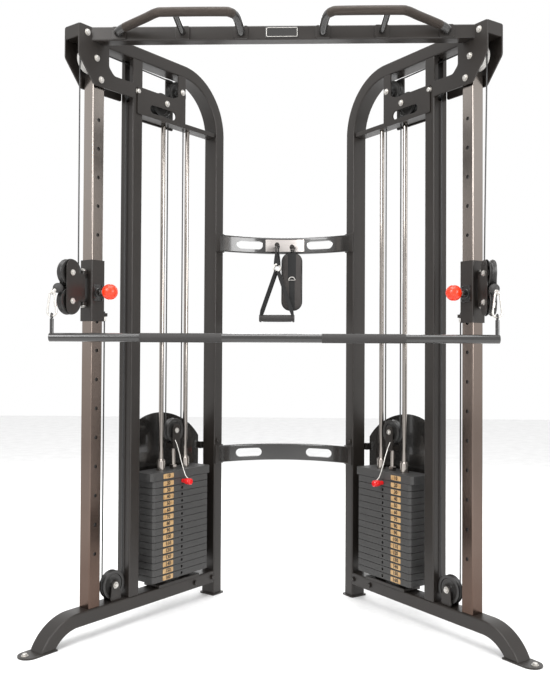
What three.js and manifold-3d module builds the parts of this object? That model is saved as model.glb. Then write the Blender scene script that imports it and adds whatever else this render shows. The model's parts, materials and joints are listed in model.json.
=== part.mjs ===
// Functional trainer: two cable towers in a V, joined by a top beam and two bowed crossmembers.
// Millimetres. World frame: +X right, +Y away from the user, +Z up, origin on the floor between the
// towers. Each tower is drawn flat in its own frame: x back along the tower from the front upright,
// y outward, z up; the right tower is the left one mirrored.
import * as THREE from 'three';
import { mergeVertices } from 'three/addons/utils/BufferGeometryUtils.js';
import manifoldModule from 'manifold-3d';

const wasm = await manifoldModule();
wasm.setup();

// ---- driving dimensions ------------------------------------------------------------------------
const GAP = 0.3;                       // air between neighbouring solids
const MACHINE_BACK = -188.5;           // shift of the whole machine along Y
const TOWER_X = 656;                   // front upright centre, either side of the middle
const TOWER_TURN = 54.75;              // tower plane from the X axis, degrees
const TUBE_T = 48, TUBE_W = 64;        // frame tube: in the tower plane, and across it
const WALL = 2.5;                      // tube wall
const FRONT = 50;                      // chrome upright, square
const MID_X = 177, REAR_X = 633;       // mid and rear uprights, back from the front one
const BASE_TOP = 99;                   // top of the base rail
const TOP_Z = 2043, TOP_H = TUBE_T;    // top tube and beam
const BEND_R = 210;                    // centreline of the rear upright's bend
const HOLE_Z = 283, HOLE_PITCH = 100, HOLE_COUNT = 16, HOLE_R = 6.5;
const UPRIGHT_TOP = 1940;

const SHEAVE = { pitch: 42, rim: 46, half: 11, bore: 5.4 };       // cable pulleys
const LOW_SHEAVE = { pitch: 46, rim: 50, half: 11, bore: 6.4 };
const RETURN_SHEAVE = { pitch: 30, rim: 33.5, half: 10, bore: 5.4 };
const CABLE_R = 2.5;
const TOP_SHEAVE_AT = [-22, 1990];
const A_AT = [405, 1980], B_AT = [321, 1916], RETURN_AT = [MID_X, 1928];
const FLOAT_AT = [405, 677], LOW_AT = [101, 153];
const ANCHOR_X = 55;                   // where the cable's fixed end meets the carriage

const ROD_X = [339, 471], ROD_R = 9, ROD_TOP = 1850;
const STACK_X = 405, PLATE_L = 300, PLATE_D = 100, PLATE_H = 25;
const STACK_Z = 125, RESTING = 14, HEAD_H = 30;
const STACK_TOP = STACK_Z + RESTING * PLATE_H;

const PIN_Z = HOLE_Z + 9 * HOLE_PITCH; // the carriages sit on the tenth hole
const SLEEVE = { inner: 25.6, outer: 30, z0: PIN_Z - 99, z1: PIN_Z + 112 };
const HINGE_X = -42;                   // swivel axis in front of the upright
const YOKE = { z: PIN_Z + 14, spacing: 96, reach: 64, half: 27 };  // pulley bracket
const YAW = { left: 30, right: 8 };    // bracket direction out from straight forward, degrees
const BALL = { reach: 113, z: PIN_Z + 7, r: 17 };
const RING = { reach: 139, z: PIN_Z - 7, r: 10, wire: 3.5 };       // eye on the cable's end
const HOOK = { drop: 80, r: 3.5, top: 8, bottom: 15 };             // carabiner
const BAR = { drop: 150, r: 14.5, over: 8, stem: 6.5 };

const PEG_Z = 1418;
const CROSS = { upper: 1390, lower: 532, h: 68, bow: 105, thick: 28 };

// ---- materials ---------------------------------------------------------------------------------
const paint = (color, roughness, metalness = 0.2) =>
  new THREE.MeshStandardMaterial({ color, roughness, metalness });
const FRAME = paint(0x3b342e, 0.45);
const BLACK = paint(0x111111, 0.25);
const CHROME = paint(0xc9c6c2, 0.18, 1);
const PLATE = paint(0x2a2927, 0.7);
const SHEAVE_BLACK = paint(0x1a1a1a, 0.5, 0);
const SHEAVE_GREY = paint(0xb9b9b6, 0.5, 0);
const CABLE = paint(0x141414, 0.4, 0);
const RED = paint(0xe8391a, 0.35, 0);
const ZINC = paint(0xb5b2ac, 0.35, 1);
const RUBBER = paint(0x1b1b1b, 0.8, 0);
const GRIP = paint(0x3a332c, 0.55, 0.5);
const WEB = paint(0x161616, 0.9, 0);

// ---- solids ------------------------------------------------------------------------------------
const rad = (deg) => deg * Math.PI / 180;
const v3 = (x, y, z) => new THREE.Vector3(x, y, z);

function solid(geometry) {
  for (const name of ['normal', 'uv']) geometry.deleteAttribute(name);
  const g = mergeVertices(geometry, 1e-4);
  return new wasm.Manifold(new wasm.Mesh({
    numProp: 3,
    vertProperties: new Float32Array(g.attributes.position.array),
    triVerts: new Uint32Array(g.index.array),
  }));
}

function toGeometry(manifold) {
  const { vertProperties, triVerts, numProp } = manifold.getMesh();
  const g = new THREE.BufferGeometry();
  const xyz = new Float32Array(vertProperties.length / numProp * 3);
  for (let i = 0; i < xyz.length; i += 1) xyz[i] = vertProperties[Math.floor(i / 3) * numProp + i % 3];
  g.setAttribute('position', new THREE.BufferAttribute(xyz, 3));
  g.setIndex(new THREE.BufferAttribute(new Uint32Array(triVerts), 1));
  g.computeVertexNormals();
  return g;
}

const join = (...parts) => parts.flat().reduce((a, b) => a.add(b));
const cut = (body, ...tools) => tools.flat().reduce((a, b) => a.subtract(b), body);

function block(x0, x1, y0, y1, z0, z1) {
  const g = new THREE.BoxGeometry(x1 - x0, y1 - y0, z1 - z0);
  return solid(g.translate((x0 + x1) / 2, (y0 + y1) / 2, (z0 + z1) / 2));
}

function rod(a, b, r, sides = 12) {
  const from = v3(...a), to = v3(...b);
  const g = new THREE.CylinderGeometry(r, r, from.distanceTo(to), sides);
  g.applyQuaternion(new THREE.Quaternion().setFromUnitVectors(v3(0, 1, 0),
    to.clone().sub(from).normalize()));
  const mid = from.add(to).multiplyScalar(0.5);
  return solid(g.translate(mid.x, mid.y, mid.z));
}

const ball = (x, y, z, r) => solid(new THREE.SphereGeometry(r, 16, 9).translate(x, y, z));

// An outline in the x-z plane, given thickness from y0 to y1; round > 0 eases the long edges.
function slab(shape, y0, y1, round = 0) {
  const g = new THREE.ExtrudeGeometry(shape, {
    depth: y1 - y0 - 2 * round, curveSegments: 6, bevelEnabled: round > 0,
    bevelSize: round, bevelOffset: -round, bevelThickness: round, bevelSegments: 1,
  });
  return solid(g.rotateX(Math.PI / 2).translate(0, y1 - round, 0));
}

function outline(points) {
  return new THREE.Shape(points.map(([x, z]) => new THREE.Vector2(x, z)));
}

function stadium(x, z0, z1, half) {                    // upright racetrack, round ends at z0 and z1
  const s = new THREE.Shape();
  s.absarc(x, z1 - half, half, 0, Math.PI, false);
  s.absarc(x, z0 + half, half, Math.PI, 2 * Math.PI, false);
  return s;
}

function sheave({ pitch, rim, half, bore }, x, z) {    // grooved pulley on an axle along y
  const root = pitch - CABLE_R - 1.2;
  const profile = [[bore, -half], [rim, -half], [root, -2.2], [root, 2.2], [rim, half], [bore, half],
    [bore, -half]].map(([r, y]) => new THREE.Vector2(r, y));
  return solid(new THREE.LatheGeometry(profile, 18).translate(x, 0, z));
}

// A route sampled only at its own points, so long straight runs cost nothing.
class Route extends THREE.Curve {
  constructor(points) { super(); this.points = points; }
  getPoint(t) { return this.points[Math.round(t * (this.points.length - 1))].clone(); }
  getPointAt(t) { return this.getPoint(t); }
  getSpacedPoints() { return this.points.map((p) => p.clone()); }
  getTangentAt(t) {
    const i = Math.round(t * (this.points.length - 1));
    const before = this.points[Math.max(i - 1, 0)], after = this.points[Math.min(i + 1,
      this.points.length - 1)];
    const here = this.points[i];
    const into = here.clone().sub(before).normalize(), out = after.clone().sub(here).normalize();
    return into.add(out).normalize();
  }
}

function sweep(points, r, sides = 8) {
  const section = new THREE.Shape(Array.from({ length: sides }, (_, i) => {
    const a = 2 * Math.PI * i / sides;
    return new THREE.Vector2(r * Math.cos(a), r * Math.sin(a));
  }));
  const route = new Route(points);
  const along = { steps: points.length - 1, extrudePath: route, bevelEnabled: false };
  return solid(new THREE.ExtrudeGeometry(section, along));
}

// Points on an arc in a vertical plane: angles in degrees, 0 along +x, 90 up.
function arc([cx, cz], r, from, to, steps, place = (x, z) => v3(x, 0, z)) {
  return Array.from({ length: steps + 1 }, (_, i) => {
    const a = rad(from + (to - from) * i / steps);
    return place(cx + r * Math.cos(a), cz + r * Math.sin(a));
  });
}

// ---- scene graph helpers -----------------------------------------------------------------------
const root = new THREE.Group();
root.name = 'functional_trainer';

function add(parent, name, manifold, material) {
  const mesh = new THREE.Mesh(toGeometry(manifold), material);
  mesh.name = name;
  parent.add(mesh);
}

// ---- one tower ---------------------------------------------------------------------------------
const H = TUBE_W / 2;
const FAR = REAR_X - TUBE_T / 2, NEAR_MID = MID_X - TUBE_T / 2, BACK_MID = MID_X + TUBE_T / 2;

function baseRail() {
  const r = 140, x0 = -72, zc = BASE_TOP - TUBE_T / 2 - r, floor = 4;
  const inner = r - TUBE_T / 2, outer = r + TUBE_T / 2;
  const end = (radius) => Math.PI - Math.asin((floor - zc) / radius);
  const s = new THREE.Shape();
  s.moveTo(FAR - GAP, zc + inner);
  s.lineTo(x0, zc + inner);
  s.absarc(x0, zc, inner, Math.PI / 2, end(inner), false);
  s.absarc(x0, zc, outer, end(outer), Math.PI / 2, true);
  s.lineTo(FAR - GAP, zc + outer);
  const hollow = block(-60, FAR + 1, -H + WALL, H - WALL, zc + inner + WALL, zc + outer - WALL);
  const toe = new THREE.Shape();
  toe.moveTo(-160, -36); toe.lineTo(-160, 36); toe.lineTo(-247, 36);
  toe.absarc(-247, 0, 36, Math.PI / 2, 1.5 * Math.PI, false);
  const eye = new THREE.Path();
  eye.absarc(-262, 0, 6, 0, 2 * Math.PI, true);
  toe.holes.push(eye);
  const plate = solid(new THREE.ExtrudeGeometry(toe, { depth: 6, bevelEnabled: false, curveSegments: 10 }));
  const cheek = (y) => slab(outline([[78, BASE_TOP - 3], [128, BASE_TOP - 3], [118, LOW_AT[1] + 16],
    [86, LOW_AT[1] + 16]]), y - 2.5, y + 2.5);
  const axle = rod([LOW_AT[0], -24, LOW_AT[1]], [LOW_AT[0], 24, LOW_AT[1]], LOW_SHEAVE.bore - 0.4);
  return join(cut(slab(s, -H, H, 4), hollow), plate, cheek(-17), cheek(17), axle);
}

function rearUpright() {
  const cx = REAR_X - BEND_R, cz = TOP_Z + TOP_H / 2 - BEND_R, end = -FRONT / 2;
  const bent = (inset, front) => {
    const a = BEND_R + TUBE_T / 2 - inset, b = BEND_R - TUBE_T / 2 + inset;
    const s = new THREE.Shape();
    s.moveTo(cx + a, inset ? 14 : 5);
    s.absarc(cx, cz, a, 0, Math.PI / 2, false);
    s.lineTo(front, cz + a);
    s.lineTo(front, cz + b);
    s.absarc(cx, cz, b, Math.PI / 2, 0, true);
    s.lineTo(cx + b, inset ? 14 : 5);
    return s;
  };
  const plate = block(REAR_X - 31, REAR_X + 34, -H - 6, H + 6, 0, 6);
  return join(cut(slab(bent(0, end), -H, H, 4), slab(bent(WALL, end - 1), -H + WALL, H - WALL)), plate);
}

function midFrame() {
  const top = TOP_Z - GAP;
  const low = BASE_TOP + GAP;
  let post = slab(outline([[NEAR_MID, low], [BACK_MID, low], [BACK_MID, top], [NEAR_MID, top]]), -H, H, 4);
  post = cut(post, block(NEAR_MID + WALL, BACK_MID - WALL, -H + WALL, H - WALL, 0, 1880));
  post = cut(post, block(NEAR_MID - 1, BACK_MID + 1, -13, 13, RETURN_AT[1] - 42, top + 1));
  const shape = outline([[BACK_MID - 30, 1845], [422, 1845], [422, top], [382, top], [382, 1958], [350,
    1945],
    [BACK_MID - 30, 1945]]);
  const slot = new THREE.Path();
  slot.absarc(355, 1878, 15, -Math.PI / 2, Math.PI / 2, false);
  slot.absarc(250, 1878, 15, Math.PI / 2, 1.5 * Math.PI, false);
  shape.holes.push(slot);
  const cheeks = [slab(shape, -H - 5, -H + 1), slab(shape, H - 1, H + 5)];
  const axle = ([x, z]) => rod([x, -H - 9, z], [x, H + 9, z], SHEAVE.bore - 0.4, 10);
  let channel = block(BACK_MID - 1, FAR - 2, -25, 25, ROD_TOP + GAP, ROD_TOP + 18);
  channel = cut(channel, [B_AT[0] + SHEAVE.pitch, A_AT[0] + SHEAVE.pitch].map((x) =>
    rod([x, 0, ROD_TOP - 5], [x, 0, ROD_TOP + 40], 9, 10)));
  return join(post, cheeks, axle(A_AT), axle(B_AT), axle(RETURN_AT), channel);
}

function frontUpright() {
  const half = FRONT / 2;
  const post = slab(outline([[-half, BASE_TOP + GAP], [half, BASE_TOP + GAP], [half, UPRIGHT_TOP],
    [-half, UPRIGHT_TOP]]), -half, half, 3);
  const bore = block(-half + WALL, half - WALL, -half + WALL, half - WALL, BASE_TOP + 6, UPRIGHT_TOP + 1);
  const holes = Array.from({ length: HOLE_COUNT }, (_, i) => HOLE_Z + HOLE_PITCH * i).map((z) =>
    rod([0, -half - 1, z], [0, -half + WALL + 1, z], HOLE_R, 10));
  return cut(post, bore, ...holes);
}

function topGusset() {
  const edge = outline([[-100, TOP_Z + TOP_H], [-100, 1985], [-32, 1896], [BACK_MID - 46, 1896],
    [BACK_MID - 46, 1950], [58, 1950], [34, 1975], [34, TOP_Z + TOP_H]]);
  const cheeks = [slab(edge, -H - 6, -H - GAP), slab(edge, H + GAP, H + 6)];
  const cap = block(-100, -FRONT / 2 - 3, -H - 3, H + 3, TOP_Z + 2, TOP_Z + TOP_H);
  const axle = rod([TOP_SHEAVE_AT[0], -H - 10, TOP_SHEAVE_AT[1]], [TOP_SHEAVE_AT[0], H + 10,
    TOP_SHEAVE_AT[1]],
    SHEAVE.bore - 0.4, 16);
  return join(cheeks, cap, axle);
}

function guideRods() {
  const foot = block(STACK_X - 110, STACK_X + 110, -40, 40, BASE_TOP + GAP, BASE_TOP + 12);
  const bumper = (x) => rod([x, 0, BASE_TOP + 10], [x, 0, STACK_Z - GAP], 22);
  return join(foot, ROD_X.map(bumper), ROD_X.map((x) => rod([x, 0, BASE_TOP + 5], [x, 0, ROD_TOP],
    ROD_R, 14)));
}

function stackShroud() {
  const x0 = BACK_MID + 4, x1 = FAR - 4, xm = (x0 + x1) / 2, bow = 30, y = H + 24;
  const plan = new THREE.Shape();
  plan.moveTo(x0, y); plan.quadraticCurveTo(xm, y + 2 * bow, x1, y);
  plan.lineTo(x1, y - 3); plan.quadraticCurveTo(xm, y - 3 + 2 * bow, x0, y - 3);
  const sheet = solid(new THREE.ExtrudeGeometry(plan, { depth: 700, bevelEnabled: false, curveSegments: 8 })
    .translate(0, 0, 135));
  const face = new THREE.Shape();
  face.moveTo(x0, 135); face.lineTo(x1, 135); face.lineTo(x1, 640);
  face.quadraticCurveTo(x1 - 60, 738, xm, 742); face.quadraticCurveTo(x0 + 60, 738, x0, 640);
  const tabs = [[x0 - 10, x0 + 8], [x1 - 8, x1 + 10]].flatMap(([a, b]) =>
    [180, 600].map((z) => block(a, b, H + GAP, y + 2, z - 14, z + 14)));
  return join(sheet.intersect(slab(face, y - 10, y + 2 * bow + 10)), tabs);
}

const plateBlock = (z0, z1, grow = 0) => {
  const l = PLATE_L / 2 + grow, d = PLATE_D / 2, c = 8, s = new THREE.Shape();
  s.moveTo(-l + c, -d); s.lineTo(l - c, -d); s.lineTo(l, -d + c); s.lineTo(l, d - c); s.lineTo(l - c, d);
  s.lineTo(-l + c, d); s.lineTo(-l, d - c); s.lineTo(-l, -d + c);
  return solid(new THREE.ExtrudeGeometry(s, { depth: z1 - z0, bevelEnabled: false }).translate(STACK_X,
    0, z0));
};

function weightPlates() {
  const holes = ROD_X.map((x) => rod([x, 0, 0], [x, 0, 700], ROD_R + 2, 12));
  return cut(plateBlock(STACK_Z, STACK_TOP), rod([STACK_X, 0, 0], [STACK_X, 0, 700], 12.5), holes);
}

function headPlate() {
  const z0 = STACK_TOP + GAP, mid = STACK_TOP + PLATE_H, z1 = mid + HEAD_H;
  const pulleyZ = FLOAT_AT[1], half = SHEAVE.half + 3;
  const cheek = (y) => slab(stadium(STACK_X, 606, pulleyZ + 24, 20), y - 2.5, y + 2.5);
  const web = block(STACK_X - 19, STACK_X + 19, -half - 5, half + 5, 608, pulleyZ - SHEAVE.rim - 4);
  const bushes = ROD_X.map((x) => rod([x, 0, mid], [x, 0, 572], 17, 14));
  const parts = join(plateBlock(z0, mid + 1), plateBlock(mid - 1, z1, 12), bushes, web,
    cheek(-half - 2.5), cheek(half + 2.5), rod([STACK_X, 0, z1 - 1], [STACK_X, 0, 609], 9, 10),
    rod([STACK_X, 0, z1 - 1], [STACK_X, 0, z1 + 16], 15, 6),
    rod([STACK_X, 0, STACK_Z + 12], [STACK_X, 0, mid], 11, 12),
    rod([STACK_X, -half - 9, pulleyZ], [STACK_X, half + 9, pulleyZ], SHEAVE.bore - 0.4, 10));
  return cut(parts, ROD_X.map((x) => rod([x, 0, 400], [x, 0, 700], ROD_R + 0.6, 14)),
    rod([STACK_X, -70, STACK_TOP + PLATE_H / 2], [STACK_X, 16, STACK_TOP + PLATE_H / 2], 5.6, 10));
}

function selectorPin() {
  const z = STACK_TOP + PLATE_H / 2;
  return join(rod([STACK_X, -92, z], [STACK_X, 14, z], 4.8, 10), rod([STACK_X, -96, z], [STACK_X, -64,
    z], 12, 12),
    rod([STACK_X, -67, z], [STACK_X, -52, z], 8, 10));
}

// The selector pin's free lanyard, from the ring on the stem down to the pin's knob.
const LANYARD = [[396, -20, 640], [392, -34, 622], [389, -50, 590], [390, -64, 548], [395, -75, 513],
  [402, -81, 501]];

function pinLanyard() {
  const curve = new THREE.CatmullRomCurve3(LANYARD.map((p) => v3(...p)));
  return sweep(curve.getSpacedPoints(18), 1.2, 8);
}

function carriageSleeve() {
  const { inner, outer, z0, z1 } = SLEEVE;
  const shell = cut(slab(outline([[-outer, z0], [outer, z0], [outer, z1], [-outer, z1]]), -outer, outer, 3),
    block(-inner, inner, -inner, inner, z0 - 1, z1 + 1));
  const lug = (z) => cut(block(HINGE_X - 9, -inner - 1, -9, 9, z - 6, z + 6),
    rod([HINGE_X, 0, z - 8], [HINGE_X, 0, z + 8], 5.4, 10));
  const housing = rod([0, -outer + 1, PIN_Z], [0, -outer - 24, PIN_Z], 15, 14);
  const anchor = cut(block(outer - 1, ANCHOR_X + 9, -8, 8, PIN_Z - 80, PIN_Z - 68),
    rod([ANCHOR_X, 0, PIN_Z - 90], [ANCHOR_X, 0, PIN_Z - 60], 3.6, 8));
  return cut(join(shell, lug(YOKE.z + 54), lug(YOKE.z - 54), housing, anchor),
    rod([0, -outer - 30, PIN_Z], [0, -inner + 1, PIN_Z], 5.3, 10));
}

function pullPin() {
  const face = -SLEEVE.outer - 24;
  return join(rod([0, -SLEEVE.inner - 0.3, PIN_Z], [0, face - 20, PIN_Z], 4.9, 10),
    rod([0, face - 2, PIN_Z], [0, face - 14, PIN_Z], 9, 10), ball(0, face - 36, PIN_Z, 27));
}

// The bracket is drawn pointing along -x from its hinge, which is at the origin of its own group.
function swivelBracket() {
  const { z, spacing, reach, half } = YOKE, t = 4, y = SHEAVE.half + 2.6 + t / 2;
  const top = z + spacing / 2 + half + 17, bottom = z - spacing / 2 - half - 17;
  const cheek = (side) => join(slab(stadium(-reach, bottom, top, half), side - t / 2, side + t / 2),
    slab(outline([[-reach, z - 48], [-7, z - 48], [-7, z + 48], [-reach, z + 48]]), side - t / 2,
      side + t / 2));
  const web = block(-13, -7, -y - t / 2, y + t / 2, z - 48, z + 48);
  const knuckles = [z + 41, z - 41].map((k) => join(rod([0, 0, k - 6.5], [0, 0, k + 6.5], 9, 12),
    block(-8, 0, -8, 8, k - 6.5, k + 6.5)));
  const axles = [1, -1].map((k) => rod([-reach, -y - 6, z + k * spacing / 2], [-reach, y + 6,
    z + k * spacing / 2], SHEAVE.bore - 0.4, 10));
  return join(cheek(-y), cheek(y), web, knuckles, axles, rod([0, 0, z - 64], [0, 0, z + 64], 5, 10));
}

function cableEnd(yaw) {
  const { reach, z, r } = BALL;
  const eye = solid(new THREE.TorusGeometry(8.2, 1.9, 6, 14).rotateX(Math.PI / 2).rotateZ(rad(yaw))
    .translate(-RING.reach, 0, RING.z));
  return join(cut(ball(-reach, 0, z, r), rod([-reach + 24, 0, z + 4.2], [-reach + 8, 0, z + 1.6], 3.4, 8)),
    rod([-reach - 10, 0, z - 5], [-RING.reach + 7, 0, RING.z + 3.6], 4.5, 8), eye);
}

// Carabiner, drawn in the x-z plane with its top wire at the origin.
function carabiner() {
  const { drop, r, top, bottom } = HOOK;
  const pts = [...arc([0, -top], top, 0, 180, 6), ...arc([0, -drop + bottom], bottom, 180, 360, 7)];
  const [first] = pts;
  const closed = [v3(first.x + 0.6, 0, first.z - 3), ...pts, v3(bottom - 0.6, 0, -drop + bottom + 6)];
  const gate = rod([bottom - 0.2, 0, -drop + bottom], [top + 0.2, 0, -top - 1], r - 0.6, 10);
  return join(sweep(closed, r, 8), gate);
}

function leftCable(place) {
  const p = SHEAVE.pitch;
  const [ux, uz] = [-YOKE.reach, YOKE.z + YOKE.spacing / 2];
  const points = [
    v3(ANCHOR_X, 0, PIN_Z - 62), ...arc(LOW_AT, LOW_SHEAVE.pitch, 180, 360, 9),
    ...arc(RETURN_AT, RETURN_SHEAVE.pitch, 180, 90, 5), ...arc(B_AT, p, 90, 0, 5),
    ...arc(FLOAT_AT, p, 180, 360, 9), ...arc(A_AT, p, 0, 90, 5),
    ...arc(TOP_SHEAVE_AT, p, 90, 180, 5),
    ...arc([ux, uz], p, 0, -90, 5, place), place(-BALL.reach + 22, BALL.z + 3.9),
      place(-BALL.reach + 10, BALL.z + 1.9),
  ];
  return sweep(points, CABLE_R, 6);
}

function tower(side) {
  const t = new THREE.Group();
  t.position.set(-TOWER_X, 0, 0);
  t.rotation.z = rad(TOWER_TURN);
  const n = (name) => `${side}_${name}`;
  add(t, n('base_rail'), baseRail(), FRAME);
  add(t, n('rear_upright'), rearUpright(), FRAME);
  add(t, n('mid_upright'), midFrame(), FRAME);
  add(t, n('front_upright'), frontUpright(), CHROME);
  add(t, n('top_gusset'), topGusset(), FRAME);
  add(t, n('guide_rods'), guideRods(), CHROME);
  add(t, n('stack_shroud'), stackShroud(), BLACK);
  add(t, n('weight_plates'), weightPlates(), PLATE);
  add(t, n('head_plate'), headPlate(), PLATE);
  add(t, n('selector_pin'), selectorPin(), RED);
  add(t, n('pin_lanyard'), pinLanyard(), CABLE);
  add(t, n('top_front_pulley'), sheave(SHEAVE, ...TOP_SHEAVE_AT), SHEAVE_GREY);
  add(t, n('top_rear_pulley'), sheave(SHEAVE, ...A_AT), SHEAVE_BLACK);
  add(t, n('top_inner_pulley'), sheave(SHEAVE, ...B_AT), SHEAVE_BLACK);
  add(t, n('return_pulley'), sheave(RETURN_SHEAVE, ...RETURN_AT), SHEAVE_BLACK);
  add(t, n('floating_pulley'), sheave(SHEAVE, ...FLOAT_AT), SHEAVE_BLACK);
  add(t, n('bottom_pulley'), sheave(LOW_SHEAVE, ...LOW_AT), SHEAVE_BLACK);
  add(t, n('carriage_sleeve'), carriageSleeve(), FRAME);
  add(t, n('pull_pin'), pullPin(), RED);
  const turn = 90 - TOWER_TURN - YAW[side];           // bracket turned in from the tower plane
  const yoke = new THREE.Group();
  yoke.position.set(HINGE_X, 0, 0);
  yoke.rotation.z = rad(turn);
  t.add(yoke);
  add(yoke, n('swivel_bracket'), swivelBracket(), FRAME);
  add(yoke, n('upper_carriage_pulley'), sheave(SHEAVE, -YOKE.reach, YOKE.z + YOKE.spacing / 2),
    SHEAVE_BLACK);
  add(yoke, n('lower_carriage_pulley'), sheave(SHEAVE, -YOKE.reach, YOKE.z - YOKE.spacing / 2),
    SHEAVE_BLACK);
  add(yoke, n('cable_end'), cableEnd(YAW[side]), RUBBER);
  const hook = new THREE.Group();                      // the carabiner faces straight forward
  hook.position.set(-RING.reach, 0, RING.z);
  hook.rotation.z = -rad(TOWER_TURN + turn);
  yoke.add(hook);
  add(hook, n('carabiner'), carabiner(), ZINC);
  const c = Math.cos(rad(turn)), s = Math.sin(rad(turn));
  add(t, n('cable'), leftCable((x, z) => v3(HINGE_X + x * c, x * s, z)), CABLE);
  if (side === 'left') return t;
  const mirror = new THREE.Group();
  mirror.scale.x = -1;
  mirror.add(t);
  return mirror;
}

// ---- the middle --------------------------------------------------------------------------------
// World position of a point given in a tower's frame (left tower; mirror x for the right).
function world(side, x, y, z) {
  const a = rad(TOWER_TURN), k = side === 'left' ? 1 : -1;
  return [k * (-TOWER_X + x * Math.cos(a) - y * Math.sin(a)), x * Math.sin(a) + y * Math.cos(a), z];
}

function hookPoint(side) {
  const turn = rad(90 - TOWER_TURN - YAW[side]);
  return world(side, HINGE_X - RING.reach * Math.cos(turn), -RING.reach * Math.sin(turn),
    RING.z - HOOK.drop);
}

function topBeam() {
  const y0 = -60, y1 = -12, reach = TOWER_X + 60;
  const beam = cut(block(-reach, reach, y0, y1, TOP_Z, TOP_Z + TOP_H),
    block(-reach - 1, reach + 1, y0 + WALL, y1 - WALL, TOP_Z + WALL, TOP_Z + TOP_H - WALL));
  // each end is sawn along the tower's inner face
  const saw = (side) => {
    const [x, y] = world(side, -400, -H - 6 - GAP, 0), [u, v] = world(side, 400, -H - 6 - GAP, 0);
    const k = side === 'left' ? -1 : 1;
    const s = new THREE.Shape([[x, y], [u, v], [u + k * 400, v], [x + k * 400,
      y]].map((p) => new THREE.Vector2(...p)));
    return solid(new THREE.ExtrudeGeometry(s, { depth: 200, bevelEnabled: false }).translate(0, 0,
      TOP_Z - 50));
  };
  const badge = block(-56, 56, y0 - 2.5, y0 + 1, TOP_Z + 5, TOP_Z + TOP_H - 5);
  return join(cut(beam, saw('left'), saw('right')), badge);
}

function pullUpBar(k) {
  const y = -60.3, r = 14.5, z = TOP_Z + 43;
  const bend = new THREE.CatmullRomCurve3([[-557, y - 5, z - 20], [-555, y - 16, z - 19], [-530,
    y - 34, z - 12], [-450, y - 88, z - 3], [-408, y - 120, z],
    [-372, y - 127, z], [-200, y - 127, z], [-166, y - 119, z], [-148, y - 90, z - 3], [-140, y - 40,
      z - 15],
    [-139, y - 14, z - 20], [-139, y - 3, z - 20]].map(([x, py, pz]) => v3(k * -x, py, pz)), false,
      'centripetal');
  const strut = rod([k * 346, y - 120, z - 2], [k * 338, y - 3, z - 20], 11, 10);
  const pad = (x) => block(k * x - 24, k * x + 24, y - 6, y, TOP_Z + 2, TOP_Z + TOP_H - 2);
  return join(sweep(bend.getPoints(22), r, 12), strut, pad(139), pad(338), pad(556));
}

function crossmember(z0) {
  const { h, bow, thick } = CROSS;
  const [bx, by] = world('right', REAR_X + 16, -H - 3, 0), [fx, fy] = world('right', REAR_X - 12,
    -H - 3, 0);
  const yc = by + bow;
  const plan = new THREE.Shape();
  plan.moveTo(-bx, by); plan.quadraticCurveTo(-bx / 2, yc, 0, yc); plan.quadraticCurveTo(bx / 2, yc,
    bx, by);
  plan.lineTo(fx, fy); plan.quadraticCurveTo(fx / 2, yc - thick, 0, yc - thick);
  plan.quadraticCurveTo(-fx / 2, yc - thick, -fx, fy);
  const body = solid(new THREE.ExtrudeGeometry(plan, { depth: h, bevelEnabled: false,
    curveSegments: 8 }).translate(0, 0, z0));
  const zm = z0 + h / 2;
  const slot = (k) => slab(slotShape(k * 92, k * 196, zm, 17), 300, 800);
  const flange = (side) => {
    const g = new THREE.BoxGeometry(TUBE_T, 6, h + 8);
    g.rotateZ((side === 'left' ? 1 : -1) * rad(TOWER_TURN));
    return solid(g.translate(...world(side, REAR_X, -H - 3 - GAP, zm)));
  };
  return join(cut(body, slot(1), slot(-1)), flange('left'), flange('right'));
}

function slotShape(xa, xb, z, r) {
  const [x0, x1] = [Math.min(xa, xb) + r, Math.max(xa, xb) - r], s = new THREE.Shape();
  s.absarc(x1, z, r, -Math.PI / 2, Math.PI / 2, false);
  s.absarc(x0, z, r, Math.PI / 2, 1.5 * Math.PI, false);
  return s;
}

function upperCross() {
  const face = world('right', REAR_X + 16, -H - 3, 0)[1] + CROSS.bow - CROSS.thick;
  const pegs = [[-30, face - 92], [30, face - 28]].map(([x, y]) =>
    join(rod([x, face + 4, PEG_Z], [x, y, PEG_Z], 5, 10), rod([x, y + 1, PEG_Z], [x, y - 4, PEG_Z], 8,
      10)));
  return [crossmember(CROSS.upper).add(join(pegs)), face];
}

function longBar() {
  const l = v3(...hookPoint('left')), r = v3(...hookPoint('right'));
  const dir = r.clone().sub(l).setZ(0).normalize();
  const z = RING.z - BAR.drop;
  const at = (p, along, h) => [p.x + dir.x * along, p.y + dir.y * along, h];
  const grip = (p, k) => rod(at(p, k * 292, z), at(p, k * 562, z), BAR.r + 1.2, 14);
  const eye = (p) => solid(new THREE.TorusGeometry(9.2, 2.6, 6, 12).rotateY(Math.PI / 2).translate(p.x,
    p.y, l.z));
  const stem = (p) => rod(at(p, 0, z), at(p, 0, l.z - 8.5), BAR.stem, 10);
  return join(rod(at(l, -BAR.over, z), at(r, BAR.over, z), BAR.r, 14), grip(l, 1), grip(r, -1), eye(l),
    eye(r), stem(l), stem(r));
}

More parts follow.
